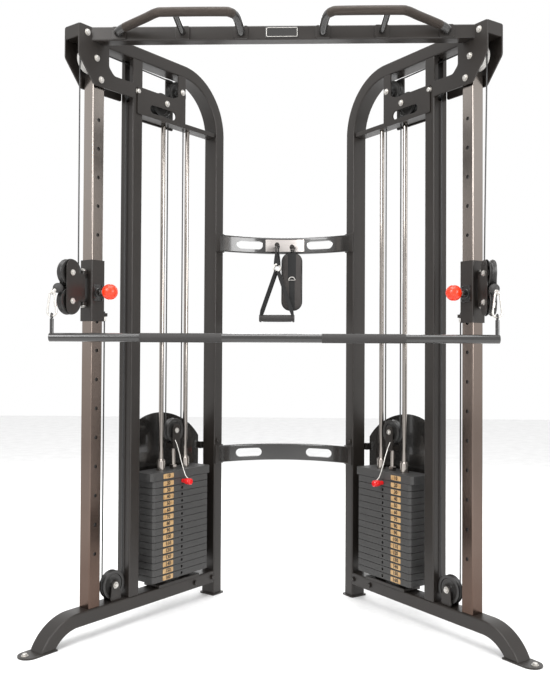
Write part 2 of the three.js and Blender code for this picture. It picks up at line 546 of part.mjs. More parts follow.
function stirrup(y) {                                  // hand grip on a strap, hung from a peg at x = -30
  const x = -30, grip = PEG_Z - 300, half = 72, w = 12.5;
  const loop = cut(rod([x, y - w, PEG_Z - 1.5], [x, y + w, PEG_Z - 1.5], 10, 12), rod([x, y - 20,
    PEG_Z - 1.5], [x, y + 20, PEG_Z - 1.5], 7, 12));
  const band = (a, b, t) => {
    const d = new THREE.Vector2(b[0] - a[0], b[1] - a[1]).normalize(), n = [-d.y * t, d.x * t];
    return slab(outline([[a[0] + n[0], a[1] + n[1]], [a[0] - n[0], a[1] - n[1]], [b[0] - n[0],
      b[1] - n[1]], [b[0] + n[0], b[1] + n[1]]]), y - w, y + w);
  };
  const ring = solid(new THREE.TorusGeometry(14, 3, 6, 14).rotateX(Math.PI / 2).translate(x, y,
    PEG_Z - 92));
  return join(loop, band([x, PEG_Z - 10], [x, PEG_Z - 80], 2), ring, band([x, PEG_Z - 103],
    [x - half + 6, grip], 1.6),
    band([x, PEG_Z - 103], [x + half - 6, grip], 1.6), rod([x - half, y, grip], [x + half, y, grip],
      15, 12));
}

function ankleCuff(y) {                                // padded cuff folded over, hung from a peg at x = 30
  const x = 30, w = 10, top = PEG_Z - 24, bottom = PEG_Z - 268;
  const loop = cut(rod([x, y - w, PEG_Z - 1.5], [x, y + w, PEG_Z - 1.5], 10, 12), rod([x, y - 20,
    PEG_Z - 1.5], [x, y + 20, PEG_Z - 1.5], 7, 12));
  return join(loop, block(x - 19, x + 19, y - 4, y + 4, top - 10, PEG_Z - 10), slab(outline([[x - 38,
    top], [x - 45, top - 20],
    [x - 45, bottom + 20], [x - 38, bottom], [x + 38, bottom], [x + 45, bottom + 20], [x + 45,
      top - 20], [x + 38, top]]), y - 8, y + 8, 3));
}

root.add(tower('left'), tower('right'));
add(root, 'top_beam', topBeam(), FRAME);
add(root, 'left_pull_up_bar', pullUpBar(-1), GRIP);
add(root, 'right_pull_up_bar', pullUpBar(1), GRIP);
const [upper, crossFace] = upperCross();
add(root, 'upper_crossmember', upper, BLACK);
add(root, 'lower_crossmember', crossmember(CROSS.lower), BLACK);
add(root, 'long_bar', longBar(), BLACK);
add(root, 'front_handle', stirrup(crossFace - 76), WEB);
add(root, 'rear_handle', stirrup(crossFace - 43), WEB);
add(root, 'ankle_cuff', ankleCuff(crossFace - 15), WEB);
root.position.y = MACHINE_BACK;

export default root;
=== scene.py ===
"""Finished looks of a two-tower functional trainer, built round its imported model."""

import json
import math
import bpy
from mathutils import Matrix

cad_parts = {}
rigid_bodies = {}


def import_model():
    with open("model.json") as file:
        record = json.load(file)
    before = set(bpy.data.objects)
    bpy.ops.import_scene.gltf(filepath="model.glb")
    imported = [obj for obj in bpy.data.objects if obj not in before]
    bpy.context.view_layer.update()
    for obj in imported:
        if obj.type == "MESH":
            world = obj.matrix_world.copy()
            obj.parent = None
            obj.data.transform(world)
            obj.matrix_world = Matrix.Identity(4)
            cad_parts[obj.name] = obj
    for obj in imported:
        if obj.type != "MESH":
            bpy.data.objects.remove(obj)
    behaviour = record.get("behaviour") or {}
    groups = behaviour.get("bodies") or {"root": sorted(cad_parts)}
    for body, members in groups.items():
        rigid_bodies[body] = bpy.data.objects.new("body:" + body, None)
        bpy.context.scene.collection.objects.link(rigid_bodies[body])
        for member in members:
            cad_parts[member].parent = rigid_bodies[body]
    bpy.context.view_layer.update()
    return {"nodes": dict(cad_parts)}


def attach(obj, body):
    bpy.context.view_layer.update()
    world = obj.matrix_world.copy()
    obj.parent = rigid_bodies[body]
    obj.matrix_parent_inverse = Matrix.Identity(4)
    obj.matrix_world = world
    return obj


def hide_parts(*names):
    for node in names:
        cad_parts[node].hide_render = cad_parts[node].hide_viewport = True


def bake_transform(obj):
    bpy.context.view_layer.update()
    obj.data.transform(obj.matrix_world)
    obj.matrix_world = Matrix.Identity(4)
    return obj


bl_info = {
    "name": "Functional trainer",
    "version": (1, 0, 0),
    "blender": (4, 5, 0),
    "location": "View3D > Sidebar > Trainer",
    "description": "Builds the visible pieces of a two-tower cable machine round its fixed frame",
    "category": "Object",
}

import bmesh
import bpy
from mathutils import Matrix, Vector

for leftover in list(bpy.data.objects):
    bpy.data.objects.remove(leftover)
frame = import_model()

# ---- the frame's own dimensions, in millimetres ---------------------------------------------------
SIDES = ("left", "right")
TOWER_X, TOWER_TURN, MACHINE_BACK = 656.0, 54.75, -188.5
YAW = {"left": 30.0, "right": 8.0}
GAP = 0.3
TUBE_T, TUBE_H, POST = 24.0, 32.0, 25.0      # half sizes of the frame tube and the chromed post
REAR_X, MID_X, BASE_TOP = 633.0, 177.0, 99.0
TOP_LOW, TOP_HIGH = 2043.0, 2091.0
HOLE_Z, HOLE_PITCH, HOLE_COUNT, HOLE_R = 283.0, 100.0, 16, 6.5
PIN_Z = HOLE_Z + 9 * HOLE_PITCH
CABLE_R = 2.5
SHEAVE, LOW_SHEAVE, RETURN_SHEAVE = (42.0, 46.0, 11.0), (46.0, 50.0, 11.0), (30.0, 33.5, 10.0)
TOP_AT, A_AT, B_AT, RETURN_AT = (-22.0, 1990.0), (405.0, 1980.0), (321.0, 1916.0), (177.0, 1928.0)
FLOAT_AT, LOW_AT, ANCHOR_X = (405.0, 677.0), (101.0, 153.0), 55.0
ROD_X, ROD_TOP, STACK_X, STACK_Z, PLATE_H, RESTING = (339.0, 471.0), 1850.0, 405.0, 125.0, 25.0, 14
STACK_TOP = STACK_Z + RESTING * PLATE_H
HINGE_X, YOKE_Z, REACH = -42.0, PIN_Z + 14, 64.0
UPPER_Z, LOWER_Z = YOKE_Z + 48, YOKE_Z - 48
BALL, RING, HOOK_DROP, BAR_DROP = (-113.0, PIN_Z + 7), (-139.0, PIN_Z - 7), 80.0, 150.0
PEG_Z, CROSS_H, CROSS_BOW, CROSS_THICK = 1418.0, 68.0, 105.0, 28.0
CROSS_Z = {"upper": 1390.0, "lower": 532.0}
METRES = Matrix.Scale(0.001, 4)


def turn(degrees, axis="Z"):
    return Matrix.Rotation(math.radians(degrees), 4, axis)


def tower(side):
    """A tower's frame: x back along the tower, y outward, z up."""
    place = Matrix.Translation((-TOWER_X, MACHINE_BACK, 0)) @ turn(TOWER_TURN)
    return place if side == "left" else Matrix.Scale(-1, 4, (1, 0, 0)) @ place


def bracket_turn(side):
    return 90 - TOWER_TURN - YAW[side]


def bracket(side):
    """The swivel bracket's frame: it points along -x from its hinge."""
    return tower(side) @ Matrix.Translation((HINGE_X, 0, 0)) @ turn(bracket_turn(side))


def hook(side):
    """The carabiner's frame, square to the machine, with its top wire at the origin."""
    return bracket(side) @ Matrix.Translation((RING[0], 0, RING[1])) @ turn(-TOWER_TURN - bracket_turn(side))


MACHINE = Matrix.Translation((0, MACHINE_BACK, 0))


def unshifted(side, x, y, z=0.0):
    """A tower point in the machine's own frame."""
    return MACHINE.inverted() @ tower(side) @ Vector((x, y, z))


def metres(place, *point):
    return tuple((METRES @ place @ Vector(point)))


# ---- outlines -------------------------------------------------------------------------------------
def arc(centre, radius, start, stop, steps):
    """Points on an arc, angles in degrees, 0 along the first axis and 90 along the second."""
    turns = [math.radians(start + (stop - start) * i / steps) for i in range(steps + 1)]
    return [(centre[0] + radius * math.cos(a), centre[1] + radius * math.sin(a)) for a in turns]


def circle(centre, radius, steps=32):
    return arc(centre, radius, 0, 360, steps)[:-1]


def rounded(x0, x1, z0, z1, r, steps=4):
    corners = ((x1 - r, z0 + r, -90), (x1 - r, z1 - r, 0), (x0 + r, z1 - r, 90), (x0 + r, z0 + r, 180))
    return [p for x, z, a in corners for p in arc((x, z), r, a, a + 90, steps)]


def racetrack(x0, x1, z, r, steps=10):
    return rounded(x0, x1, z - r, z + r, r - 0.01, steps)


def stadium(x, z0, z1, half, steps=12):
    return rounded(x - half, x + half, z0, z1, half - 0.01, steps)


def eased(points, r, steps=4):
    """A polygon with its corners rounded."""
    out, n = [], len(points)
    for i in range(n):
        a, b, c = (Vector(points[(i + k) % n]) for k in (-1, 0, 1))
        u, v = (a - b).normalized(), (c - b).normalized()
        reach = min(r, (a - b).length * 0.45, (c - b).length * 0.45)
        p, q = b + u * reach, b + v * reach
        for k in range(steps + 1):
            t = k / steps
            out.append(tuple((1 - t) ** 2 * p + 2 * t * (1 - t) * b + t * t * q))
    return out


def spline(points, per=8):
    """A smooth line through points."""
    pts = [Vector(p) for p in points]
    pts = [2 * pts[0] - pts[1], *pts, 2 * pts[-1] - pts[-2]]
    out = []
    for i in range(1, len(pts) - 2):
        a, b, c, d = pts[i - 1:i + 3]
        for k in range(per):
            t = k / per
            out.append(0.5 * (2 * b + (c - a) * t + (2 * a - 5 * b + 4 * c - d) * t * t
                              + (3 * b - a - 3 * c + d) * t ** 3))
    return out + [pts[-2]]


def straight(a, b, steps):
    a, b = Vector(a), Vector(b)
    return [a.lerp(b, i / steps) for i in range(steps + 1)]


def quadratic(a, b, c, t):
    return tuple((1 - t) ** 2 * p + 2 * t * (1 - t) * q + t * t * r for p, q, r in zip(a, b, c))


# ---- closed meshes --------------------------------------------------------------------------------
class Shell:
    """Closed faces gathered in millimetres, before they are placed as one piece."""

    def __init__(self):
        self.bm = bmesh.new()
        self.uv = self.bm.loops.layers.uv.new("along")

    def rings(self, rings, whole=False, caps=True):
        """Quads between rings of points; the UV map is the way round and the way along, in metres."""
        rows = [[self.bm.verts.new(p) for p in ring] for ring in rings]
        along = 0.0
        for i in range(len(rows) if whole else len(rows) - 1):
            here, there = rows[i], rows[(i + 1) % len(rows)]
            step, round_ = (there[0].co - here[0].co).length / 1000, 0.0
            for j, vert in enumerate(here):
                k = (j + 1) % len(here)
                width = (here[k].co - vert.co).length / 1000
                face = self.bm.faces.new((vert, here[k], there[k], there[j]))
                corners = ((round_, along), (round_ + width, along),
                           (round_ + width, along + step), (round_, along + step))
                for loop, at in zip(face.loops, corners):
                    loop[self.uv].uv = at
                round_ += width
            along += step
        if caps and not whole:
            self.bm.faces.new(rows[0])
            self.bm.faces.new(rows[-1])
        return self

    def sweep(self, path, section, lie=(0, 1, 0), inner=None, whole=False, twist=None):
        """A section carried along a path, its second axis along lie and turned by the twist at each
        point; inner makes it a tube."""
        path, up, last = [Vector(p) for p in path], Vector(lie), None
        n, frames = len(path), []
        for i, at in enumerate(path):
            back = path[i - 1] if i or whole else at
            ahead = path[(i + 1) % n] if i < n - 1 or whole else at
            along = ((at - back).normalized() + (ahead - at).normalized()).normalized()
            if last is not None:
                up.rotate(last.rotation_difference(along))
            up = (up - along * up.dot(along)).normalized()
            flat = up.copy()
            if twist:
                flat.rotate(Matrix.Rotation(math.radians(twist[i]), 3, along))
            frames.append((at, flat.cross(along), flat))
            last = along
        rings = [[at + side * a + top * b for a, b in section] for at, side, top in frames]
        if inner:
            rings += [[at + side * a + top * b for a, b in inner] for at, side, top in reversed(frames)]
        return self.rings(rings, whole or bool(inner))

    def wire(self, path, r, lie=(0, 1, 0), steps=16, whole=False):
        return self.sweep(path, circle((0, 0), r, steps), lie, whole=whole)

    def lathe(self, profile, at, axis, steps=40, whole=False):
        """A profile of (radius, height) turned about an axis; whole joins its last point to its first."""
        axis, at = Vector(axis).normalized(), Vector(at)
        side = axis.orthogonal().normalized()
        up = axis.cross(side)
        turns = [2 * math.pi * i / steps for i in range(steps)]
        rings = [[at + axis * h + (side * math.cos(a) + up * math.sin(a)) * max(r, 1e-4) for a in turns]
                 for r, h in profile]
        return self.rings(rings, whole, caps=False)

    def rod(self, a, b, r, steps=32, ease=0.8):
        length = (Vector(b) - Vector(a)).length
        ease = min(ease, r * 0.4, length * 0.3)
        profile = [(0, 0), (r - ease, 0), (r, ease), (r, length - ease), (r - ease, length), (0, length)]
        return self.lathe(profile, a, Vector(b) - Vector(a), steps)

    def ball(self, at, r, steps=40, axis=(0, 0, 1)):
        half = [(r * math.sin(math.pi * i / 24), -r * math.cos(math.pi * i / 24)) for i in range(25)]
        return self.lathe(half, at, axis, steps)

    def loop(self, at, radius, r, axis, steps=40):
        """A round ring of wire."""
        profile = [(radius + x, h) for x, h in circle((0, 0), r, 14)]
        return self.lathe(profile, at, axis, steps, whole=True)

    def plate(self, loops, low, high, bevel=1.0, flat=False):
        """Outlines given thickness with eased edges: upright across y, or flat across z."""
        curve = bpy.data.curves.new("outline", "CURVE")
        curve.dimensions, curve.fill_mode, curve.bevel_resolution = "2D", "BOTH", 1
        curve.extrude, curve.bevel_depth, curve.offset = (high - low) / 2 - bevel, bevel, -bevel
        for points in loops:
            line = curve.splines.new("POLY")
            line.points.add(len(points) - 1)
            for point, (x, z) in zip(line.points, points):
                point.co = (x, z, 0, 1)
            line.use_cyclic_u = True
        middle = (low + high) / 2
        place = (Matrix.Translation((0, 0, middle)) if flat
                 else Matrix.Translation((0, middle, 0)) @ turn(90, "X"))
        mesh = evaluated(bpy.data.objects.new("outline", curve))
        mesh.transform(place)
        self.bm.from_mesh(mesh)
        bpy.data.meshes.remove(mesh)
        return self

    def box(self, x0, x1, y0, y1, z0, z1, r=2.0, bevel=1.0):
        return self.plate([rounded(x0, x1, z0, z1, r, 3)], y0, y1, bevel)

    def mesh(self, place, smooth=32.0):
        """The gathered faces as a mesh in metres, normals outward."""
        bm = self.bm
        bm.transform(METRES @ place)
        bmesh.ops.remove_doubles(bm, verts=bm.verts, dist=2e-6)
        bmesh.ops.recalc_face_normals(bm, faces=bm.faces)
        mesh = bpy.data.meshes.new("piece")
        bm.to_mesh(mesh)
        bm.free()
        mesh.shade_smooth()
        mesh.set_sharp_from_angle(angle=math.radians(smooth))
        return mesh


def evaluated(obj, name="outline"):
    """The object's mesh with its modifiers applied; the object itself is removed."""
    if obj.name not in bpy.context.scene.collection.objects:
        bpy.context.scene.collection.objects.link(obj)
    graph = bpy.context.evaluated_depsgraph_get()
    mesh = bpy.data.meshes.new_from_object(obj.evaluated_get(graph))
    data = obj.data
    bpy.data.objects.remove(obj)
    if data.users == 0:
        (bpy.data.curves if isinstance(data, bpy.types.Curve) else bpy.data.meshes).remove(data)
    mesh.name = name
    return mesh


def carved(mesh, cutter, place):
    """A mesh with another shell's solid taken out of it."""
    whole = bpy.data.objects.new("whole", mesh)
    tool = bpy.data.objects.new("tool", cutter.mesh(place))
    bpy.context.scene.collection.objects.link(tool)
    cut = whole.modifiers.new("cut", "BOOLEAN")
    cut.operation, cut.solver, cut.object = "DIFFERENCE", "EXACT", tool
    result = evaluated(whole)
    bpy.data.objects.remove(tool)
    result.shade_smooth()
    result.set_sharp_from_angle(angle=math.radians(32))
    return result


def put(name, mesh, look, body=None, *nodes, level=True):
    """Shows a mesh as a piece that rides on a body and stands for CAD nodes."""
    obj = bpy.data.objects.new(name, mesh)
    mesh.name = name
    bpy.context.scene.collection.objects.link(obj)
    mesh.materials.clear()
    mesh.materials.append(finish(look))
    if level:
        even = obj.modifiers.new("even faces", "WEIGHTED_NORMAL")
        even.keep_sharp = True
    if body:
        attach(obj, body)
    if nodes:
        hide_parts(*nodes)
    look in SLOTS
    return obj


def show(name, shell, place, look, body, *nodes, smooth=32.0, level=True):
    return put(name, shell.mesh(place, smooth), look, body, *nodes, level=level)


# ---- repeated details, grown by Geometry Nodes ----------------------------------------------------
class Growth:
    """A Geometry Nodes tree with named inputs that ends in Realize Instances and Set Material."""

    KINDS = {float: "NodeSocketFloat", int: "NodeSocketInt", Vector: "NodeSocketVector"}

    def __init__(self, name, **inputs):
        self.tree = bpy.data.node_groups.new(name, "GeometryNodeTree")
        face = self.tree.interface
        face.new_socket("Geometry", in_out="INPUT", socket_type="NodeSocketGeometry")
        for label, value in inputs.items():
            face.new_socket(label.replace("_", " "), in_out="INPUT", socket_type=self.KINDS[value])
        face.new_socket("Material", in_out="INPUT", socket_type="NodeSocketMaterial")
        face.new_socket("Geometry", in_out="OUTPUT", socket_type="NodeSocketGeometry")
        self.inputs = self.tree.nodes.new("NodeGroupInput").outputs

    def __getitem__(self, label):
        return self.inputs[label]

    def node(self, kind, settings=(), sockets=(), output=0):
        node = self.tree.nodes.new(kind)
        for key, value in dict(settings).items():
            setattr(node, key, value)
        for key, value in dict(sockets).items():
            for source in value if isinstance(value, list) else [value]:
                if isinstance(source, bpy.types.NodeSocket):
                    self.tree.links.new(source, node.inputs[key])
                else:
                    node.inputs[key].default_value = source
        return node.outputs[output]

    def maths(self, operation, a, b):
        return self.node("ShaderNodeMath", {"operation": operation}, {0: a, 1: b})

    def up(self, height):
        return self.node("ShaderNodeCombineXYZ", (), {"Z": height})

    def moved(self, geometry, offset):
        return self.node("GeometryNodeTransform", (), {"Geometry": geometry, "Translation": offset})

    def finished(self, geometry):
        real = self.node("GeometryNodeRealizeInstances", (), {"Geometry": geometry})
        done = self.node("GeometryNodeSetMaterial", (), {"Geometry": real, "Material": self["Material"]})
        self.tree.links.new(done, self.tree.nodes.new("NodeGroupOutput").inputs[0])
        return self.tree

    @staticmethod
    def grown(tree, mesh, look, **values):
        """The mesh that a tree grows from a starting mesh."""
        obj = bpy.data.objects.new("seed", mesh)
        grow = obj.modifiers.new("grow", "NODES")
        grow.node_group = tree
        for item in tree.interface.items_tree:
            if item.in_out == "INPUT" and item.name != "Geometry":
                value = finish(look) if item.name == "Material" else values[item.name.replace(" ", "_")]
                grow[item.identifier] = value
        return evaluated(obj)


def tree_of(name, make):
    return bpy.data.node_groups.get(name) or make(name)


def bolt_tree(name):
    g = Growth(name, Head_radius=float, Head_height=float, Washer_radius=float)
    washer_height = g.maths("MULTIPLY", g["Head height"], 0.25)
    washer = g.node("GeometryNodeMeshCylinder", (),
                    {"Vertices": 24, "Radius": g["Washer radius"], "Depth": washer_height}, 0)
    shank = g.maths("MULTIPLY", g["Head height"], 0.7)
    head = g.node("GeometryNodeMeshCylinder", (), {"Vertices": 6, "Radius": g["Head radius"], "Depth": shank})
    crown = g.node("GeometryNodeMeshCone", (), {
        "Vertices": 6, "Radius Top": g.maths("MULTIPLY", g["Head radius"], 0.8),
        "Radius Bottom": g["Head radius"], "Depth": g.maths("MULTIPLY", g["Head height"], 0.2)})
    head_at = g.maths("ADD", washer_height, g.maths("MULTIPLY", shank, 0.5))
    bolt = g.node("GeometryNodeJoinGeometry", (), {"Geometry": [
        g.moved(washer, g.up(g.maths("MULTIPLY", washer_height, 0.5))),
        g.moved(head, g.up(head_at)), g.moved(crown, g.up(g.maths("ADD", washer_height, shank)))]})
    aim = g.node("GeometryNodeInputNamedAttribute", {"data_type": "FLOAT_VECTOR"}, {"Name": "aim"})
    spin = g.node("FunctionNodeAlignRotationToVector", {"axis": "Z"}, {"Vector": aim})
    return g.finished(g.node("GeometryNodeInstanceOnPoints", (), {
        "Points": g["Geometry"], "Instance": bolt, "Rotation": spin}))


def bolts(name, place, spots, body, radius=8.0, height=7.0, look="zinc"):
    """Hex heads on washers at (point, direction), given in a frame's millimetres."""
    mesh = bpy.data.meshes.new("spots")
    mesh.from_pydata([metres(place, *at) for at, _ in spots], [], [])
    aim = mesh.attributes.new("aim", "FLOAT_VECTOR", "POINT")
    for item, (_, way) in zip(aim.data, spots):
        item.vector = (place.to_3x3() @ Vector(way)).normalized()
    grown = Growth.grown(tree_of("hex bolts", bolt_tree), mesh, look, Head_radius=radius / 1000,
                         Head_height=height / 1000, Washer_radius=radius * 1.35 / 1000)
    return put(name, grown, look, body, level=False)


def row_tree(name):
    """Copies of the starting mesh in an even row."""
    g = Growth(name, Count=int, Step=Vector)
    line = g.node("GeometryNodeMeshLine", {"mode": "OFFSET"}, {"Count": g["Count"], "Offset": g["Step"]})
    return g.finished(g.node("GeometryNodeInstanceOnPoints", (), {"Points": line, "Instance": g["Geometry"]}))


def row(name, mesh, count, step, look, body, *nodes):
    grown = Growth.grown(tree_of("even row", row_tree), mesh, look, Count=count, Step=step)
    return put(name, grown, look, body, *nodes)


def hole_tree(name):
    """Round holes in an even row, cut through one wall of the starting mesh."""
    g = Growth(name, Count=int, First=Vector, Step=Vector, Aim=Vector, Radius=float, Depth=float)
    line = g.node("GeometryNodeMeshLine", {"mode": "OFFSET"}, {
        "Count": g["Count"], "Start Location": g["First"], "Offset": g["Step"]})
    drill = g.node("GeometryNodeMeshCylinder", (), {
        "Vertices": 32, "Radius": g["Radius"], "Depth": g["Depth"]})
    spin = g.node("FunctionNodeAlignRotationToVector", {"axis": "Z"}, {"Vector": g["Aim"]})
    drills = g.node("GeometryNodeRealizeInstances", (), {"Geometry": g.node(
        "GeometryNodeInstanceOnPoints", (), {"Points": line, "Instance": drill, "Rotation": spin})})
    cut = g.node("GeometryNodeMeshBoolean", {"operation": "DIFFERENCE", "solver": "EXACT"}, {
        "Mesh 1": g["Geometry"], "Mesh 2": drills})
    return g.finished(cut)


# ---- finishes -------------------------------------------------------------------------------------
class Socket:
    """A value in a shader; Python's operators on it add Math nodes."""

    def __init__(self, paint, link):
        self.paint, self.link = paint, link

    def maths(self, operation, a, b=0.0):
        return self.paint.node("ShaderNodeMath", {"operation": operation}, {0: a, 1: b})

    def __add__(self, other):
        return self.maths("ADD", self, other)

    def __mul__(self, other):
        return self.maths("MULTIPLY", self, other)

    def __sub__(self, other):
        return self.maths("SUBTRACT", self, other)

    def __rsub__(self, other):
        return self.maths("SUBTRACT", other, self)

    __radd__, __rmul__ = __add__, __mul__

    def wave(self):
        return self.maths("SINE", self)

    def top(self, other):
        return self.maths("MAXIMUM", self, other)


class Paint:
    """A procedural material being mixed."""

    def __init__(self, name, **constants):
        self.material = bpy.data.materials.new(name)
        self.material.use_nodes = True
        self.tree = self.material.node_tree
        self.shader = self.tree.nodes["Principled BSDF"]
        self.set(**constants)

    def node(self, kind, settings=(), sockets=(), output=0):
        node = self.tree.nodes.new(kind)
        for key, value in dict(settings).items():
            if key == "stops":
                for _ in value[2:]:
                    node.color_ramp.elements.new(0.5)
                for element, (at, colour) in zip(node.color_ramp.elements, value):
                    element.position, element.color = at, (*colour, 1)
            else:
                setattr(node, key, value)
        for key, value in dict(sockets).items():
            if isinstance(value, Socket):
                self.tree.links.new(value.link, node.inputs[key])
            else:
                node.inputs[key].default_value = value
        return Socket(self, node.outputs[output])

    def set(self, **values):
        for key, value in values.items():
            socket = self.shader.inputs[key.replace("_", " ")]
            if isinstance(value, Socket):
                self.tree.links.new(value.link, socket)
            else:
                socket.default_value = (*value, 1) if isinstance(value, (tuple, list)) else value

    def place(self):
        return self.node("ShaderNodeTexCoord", (), (), "Object")

    def parts(self, vector):
        split = self.node("ShaderNodeSeparateXYZ", (), {0: vector})
        return [Socket(self, out) for out in split.link.node.outputs]

    def noise(self, scale, detail=2.0, stretch=None):
        at = self.place()
        if stretch:
            at = self.node("ShaderNodeMapping", (), {"Vector": at, "Scale": stretch})
        return self.node("ShaderNodeTexNoise", (), {"Vector": at, "Scale": scale, "Detail": detail})

    def ramp(self, value, *stops):
        return self.node("ShaderNodeValToRGB", {"stops": stops}, {0: value})

    def blend(self, factor, a, b):
        a, b = (c if isinstance(c, Socket) else (*c, 1) for c in (a, b))
        return self.node("ShaderNodeMix", {"data_type": "RGBA"}, {0: factor, 6: a, 7: b}, 2)

    def bump(self, height, depth, strength=1.0):
        self.set(Normal=self.node("ShaderNodeBump", (), {
            "Height": height, "Distance": depth, "Strength": strength}))


def coat(name, colour, roughness, grain=900.0, depth=0.00005, **constants):
    """A sprayed or moulded surface: faint mottling, fine grain and rubbed patches."""
    p = Paint(name, **constants)
    cloudy, fine = p.noise(9.0, 4.0), p.noise(grain, 1.0)
    dark, light = tuple(c * 0.72 for c in colour), tuple(min(1, c * 1.3) for c in colour)
    p.set(Base_Color=p.blend(cloudy * 0.7 + fine * 0.3, dark, light),
          Roughness=cloudy * 0.16 + fine * 0.08 + (roughness - 0.12))
    p.bump(fine, depth)
    return p.material


def metal(name, colour, roughness, stretch=(1, 1, 0.04), scale=700.0):
    """Plated or drawn metal, with fine lines along the draw."""
    p = Paint(name, Metallic=1.0)
    lines, cloudy = p.noise(scale, 2.0, stretch), p.noise(14.0, 3.0)
    dark = tuple(c * 0.78 for c in colour)
    p.set(Base_Color=p.blend(cloudy * 0.6 + lines * 0.4, dark, colour),
          Roughness=lines * 0.1 + cloudy * 0.08 + (roughness - 0.09))
    p.bump(lines, 0.00001)
    return p.material


def upright_chrome(name):
    """Chromed post: pale above, warmer and darker towards the floor, the grading by height being a painted
    reflection of its surroundings.
    """
    p = Paint(name, Metallic=1.0)
    _, _, z = p.parts(p.place())
    lines, cloudy = p.noise(900.0, 2.0, (1, 1, 0.02)), p.noise(6.0, 3.0)
    # Painted reflection: the ramp up the post's height stands for the surroundings reflected in the chrome,
    # pale up high and brown near the floor.
    painted_reflection_tone = p.ramp(z * 0.5 + (cloudy - 0.5) * 0.12, (0.06, colours().upright_low),
                  (0.45, colours().upright_mid), (0.8, colours().upright_high))
    p.set(Base_Color=painted_reflection_tone, Roughness=lines * 0.08 + cloudy * 0.08 + 0.12)
    p.bump(lines, 0.00001)
    return p.material


def woven(name, colour, pitch=0.0016):
    """Polyester webbing: over-and-under threads that follow the strap."""
    p = Paint(name, Sheen_Weight=0.25)
    round_, along, _ = p.parts(p.node("ShaderNodeUVMap", {"uv_map": "along"}))
    step = 2 * math.pi / pitch
    warp, weft = (round_ * step).wave(), (along * (step * 0.5)).wave()
    thread = (warp * weft) * 0.5 + 0.5
    p.set(Base_Color=p.blend(thread * 0.7 + p.noise(60.0) * 0.3, tuple(c * 0.5 for c in colour), colour),
          Roughness=thread * 0.1 + 0.75)
    p.bump(thread, 0.0003)
    return p.material


def quilted(name, colour):
    """Padded nylon: a fine cross weave over soft wrinkles."""
    p = Paint(name, Sheen_Weight=0.2)
    x, _, z = p.parts(p.place())
    thread = ((x * 3600.0).wave() * (z * 3600.0).wave()) * 0.5 + 0.5
    soft = p.noise(35.0, 3.0)
    p.set(Base_Color=p.blend(thread * 0.5 + soft * 0.5, tuple(c * 0.6 for c in colour), colour),
          Roughness=soft * 0.15 + 0.7)
    p.bump(thread * 0.25 + soft * 0.75, 0.0008)
    return p.material


def knurled(name, colour, pitch=0.004, **constants):
    """Diamond knurling that follows the bar."""
    p = Paint(name, **constants)
    round_, along, _ = p.parts(p.node("ShaderNodeUVMap", {"uv_map": "along"}))
    step = 2 * math.pi / pitch
    rise = ((round_ + along) * step).wave().top(((round_ - along) * step).wave())
    p.set(Base_Color=p.blend(rise * 0.5 + 0.5, tuple(c * 0.35 for c in colour), colour),
          Roughness=p.noise(40.0) * 0.2 + 0.3)
    p.bump(rise, 0.0005)
    return p.material


def plate_iron(name):
    """Cast weight plates: grey powder coat with a coarse grain."""
    p = Paint(name, Metallic=0.15)
    grain, cloudy = p.noise(420.0, 3.0), p.noise(22.0, 3.0)
    grey = colours().plate
    dark, light = tuple(c * 0.5 for c in grey), tuple(c * 1.5 for c in grey)
    p.set(Base_Color=p.blend(grain * 0.6 + cloudy * 0.4, dark, light),
          Roughness=cloudy * 0.2 + 0.45)
    p.bump(grain, 0.0004)
    return p.material


def label_card(name):
    p = Paint(name)
    pale = p.noise(70.0, 2.0)
    p.set(Base_Color=p.ramp(pale, (0.3, colours().label_edge), (0.6, colours().label)),
          Roughness=p.noise(300.0) * 0.2 + 0.4)
    return p.material


SLOTS = {"frame coat": "frame_paint", "gloss black": "black_gloss", "upright chrome": "chrome",
         "rod chrome": "chrome", "plate iron": "plate_iron", "pulley nylon": "pulley_black",
         "pulley grey": "pulley_grey", "cable jacket": "cable_sheath", "knob orange": "red_plastic",
         "pin red": "red_plastic", "zinc": "zinc", "rubber": "ball_rubber", "grip bronze": "grip_bronze",
         "webbing": "webbing"}

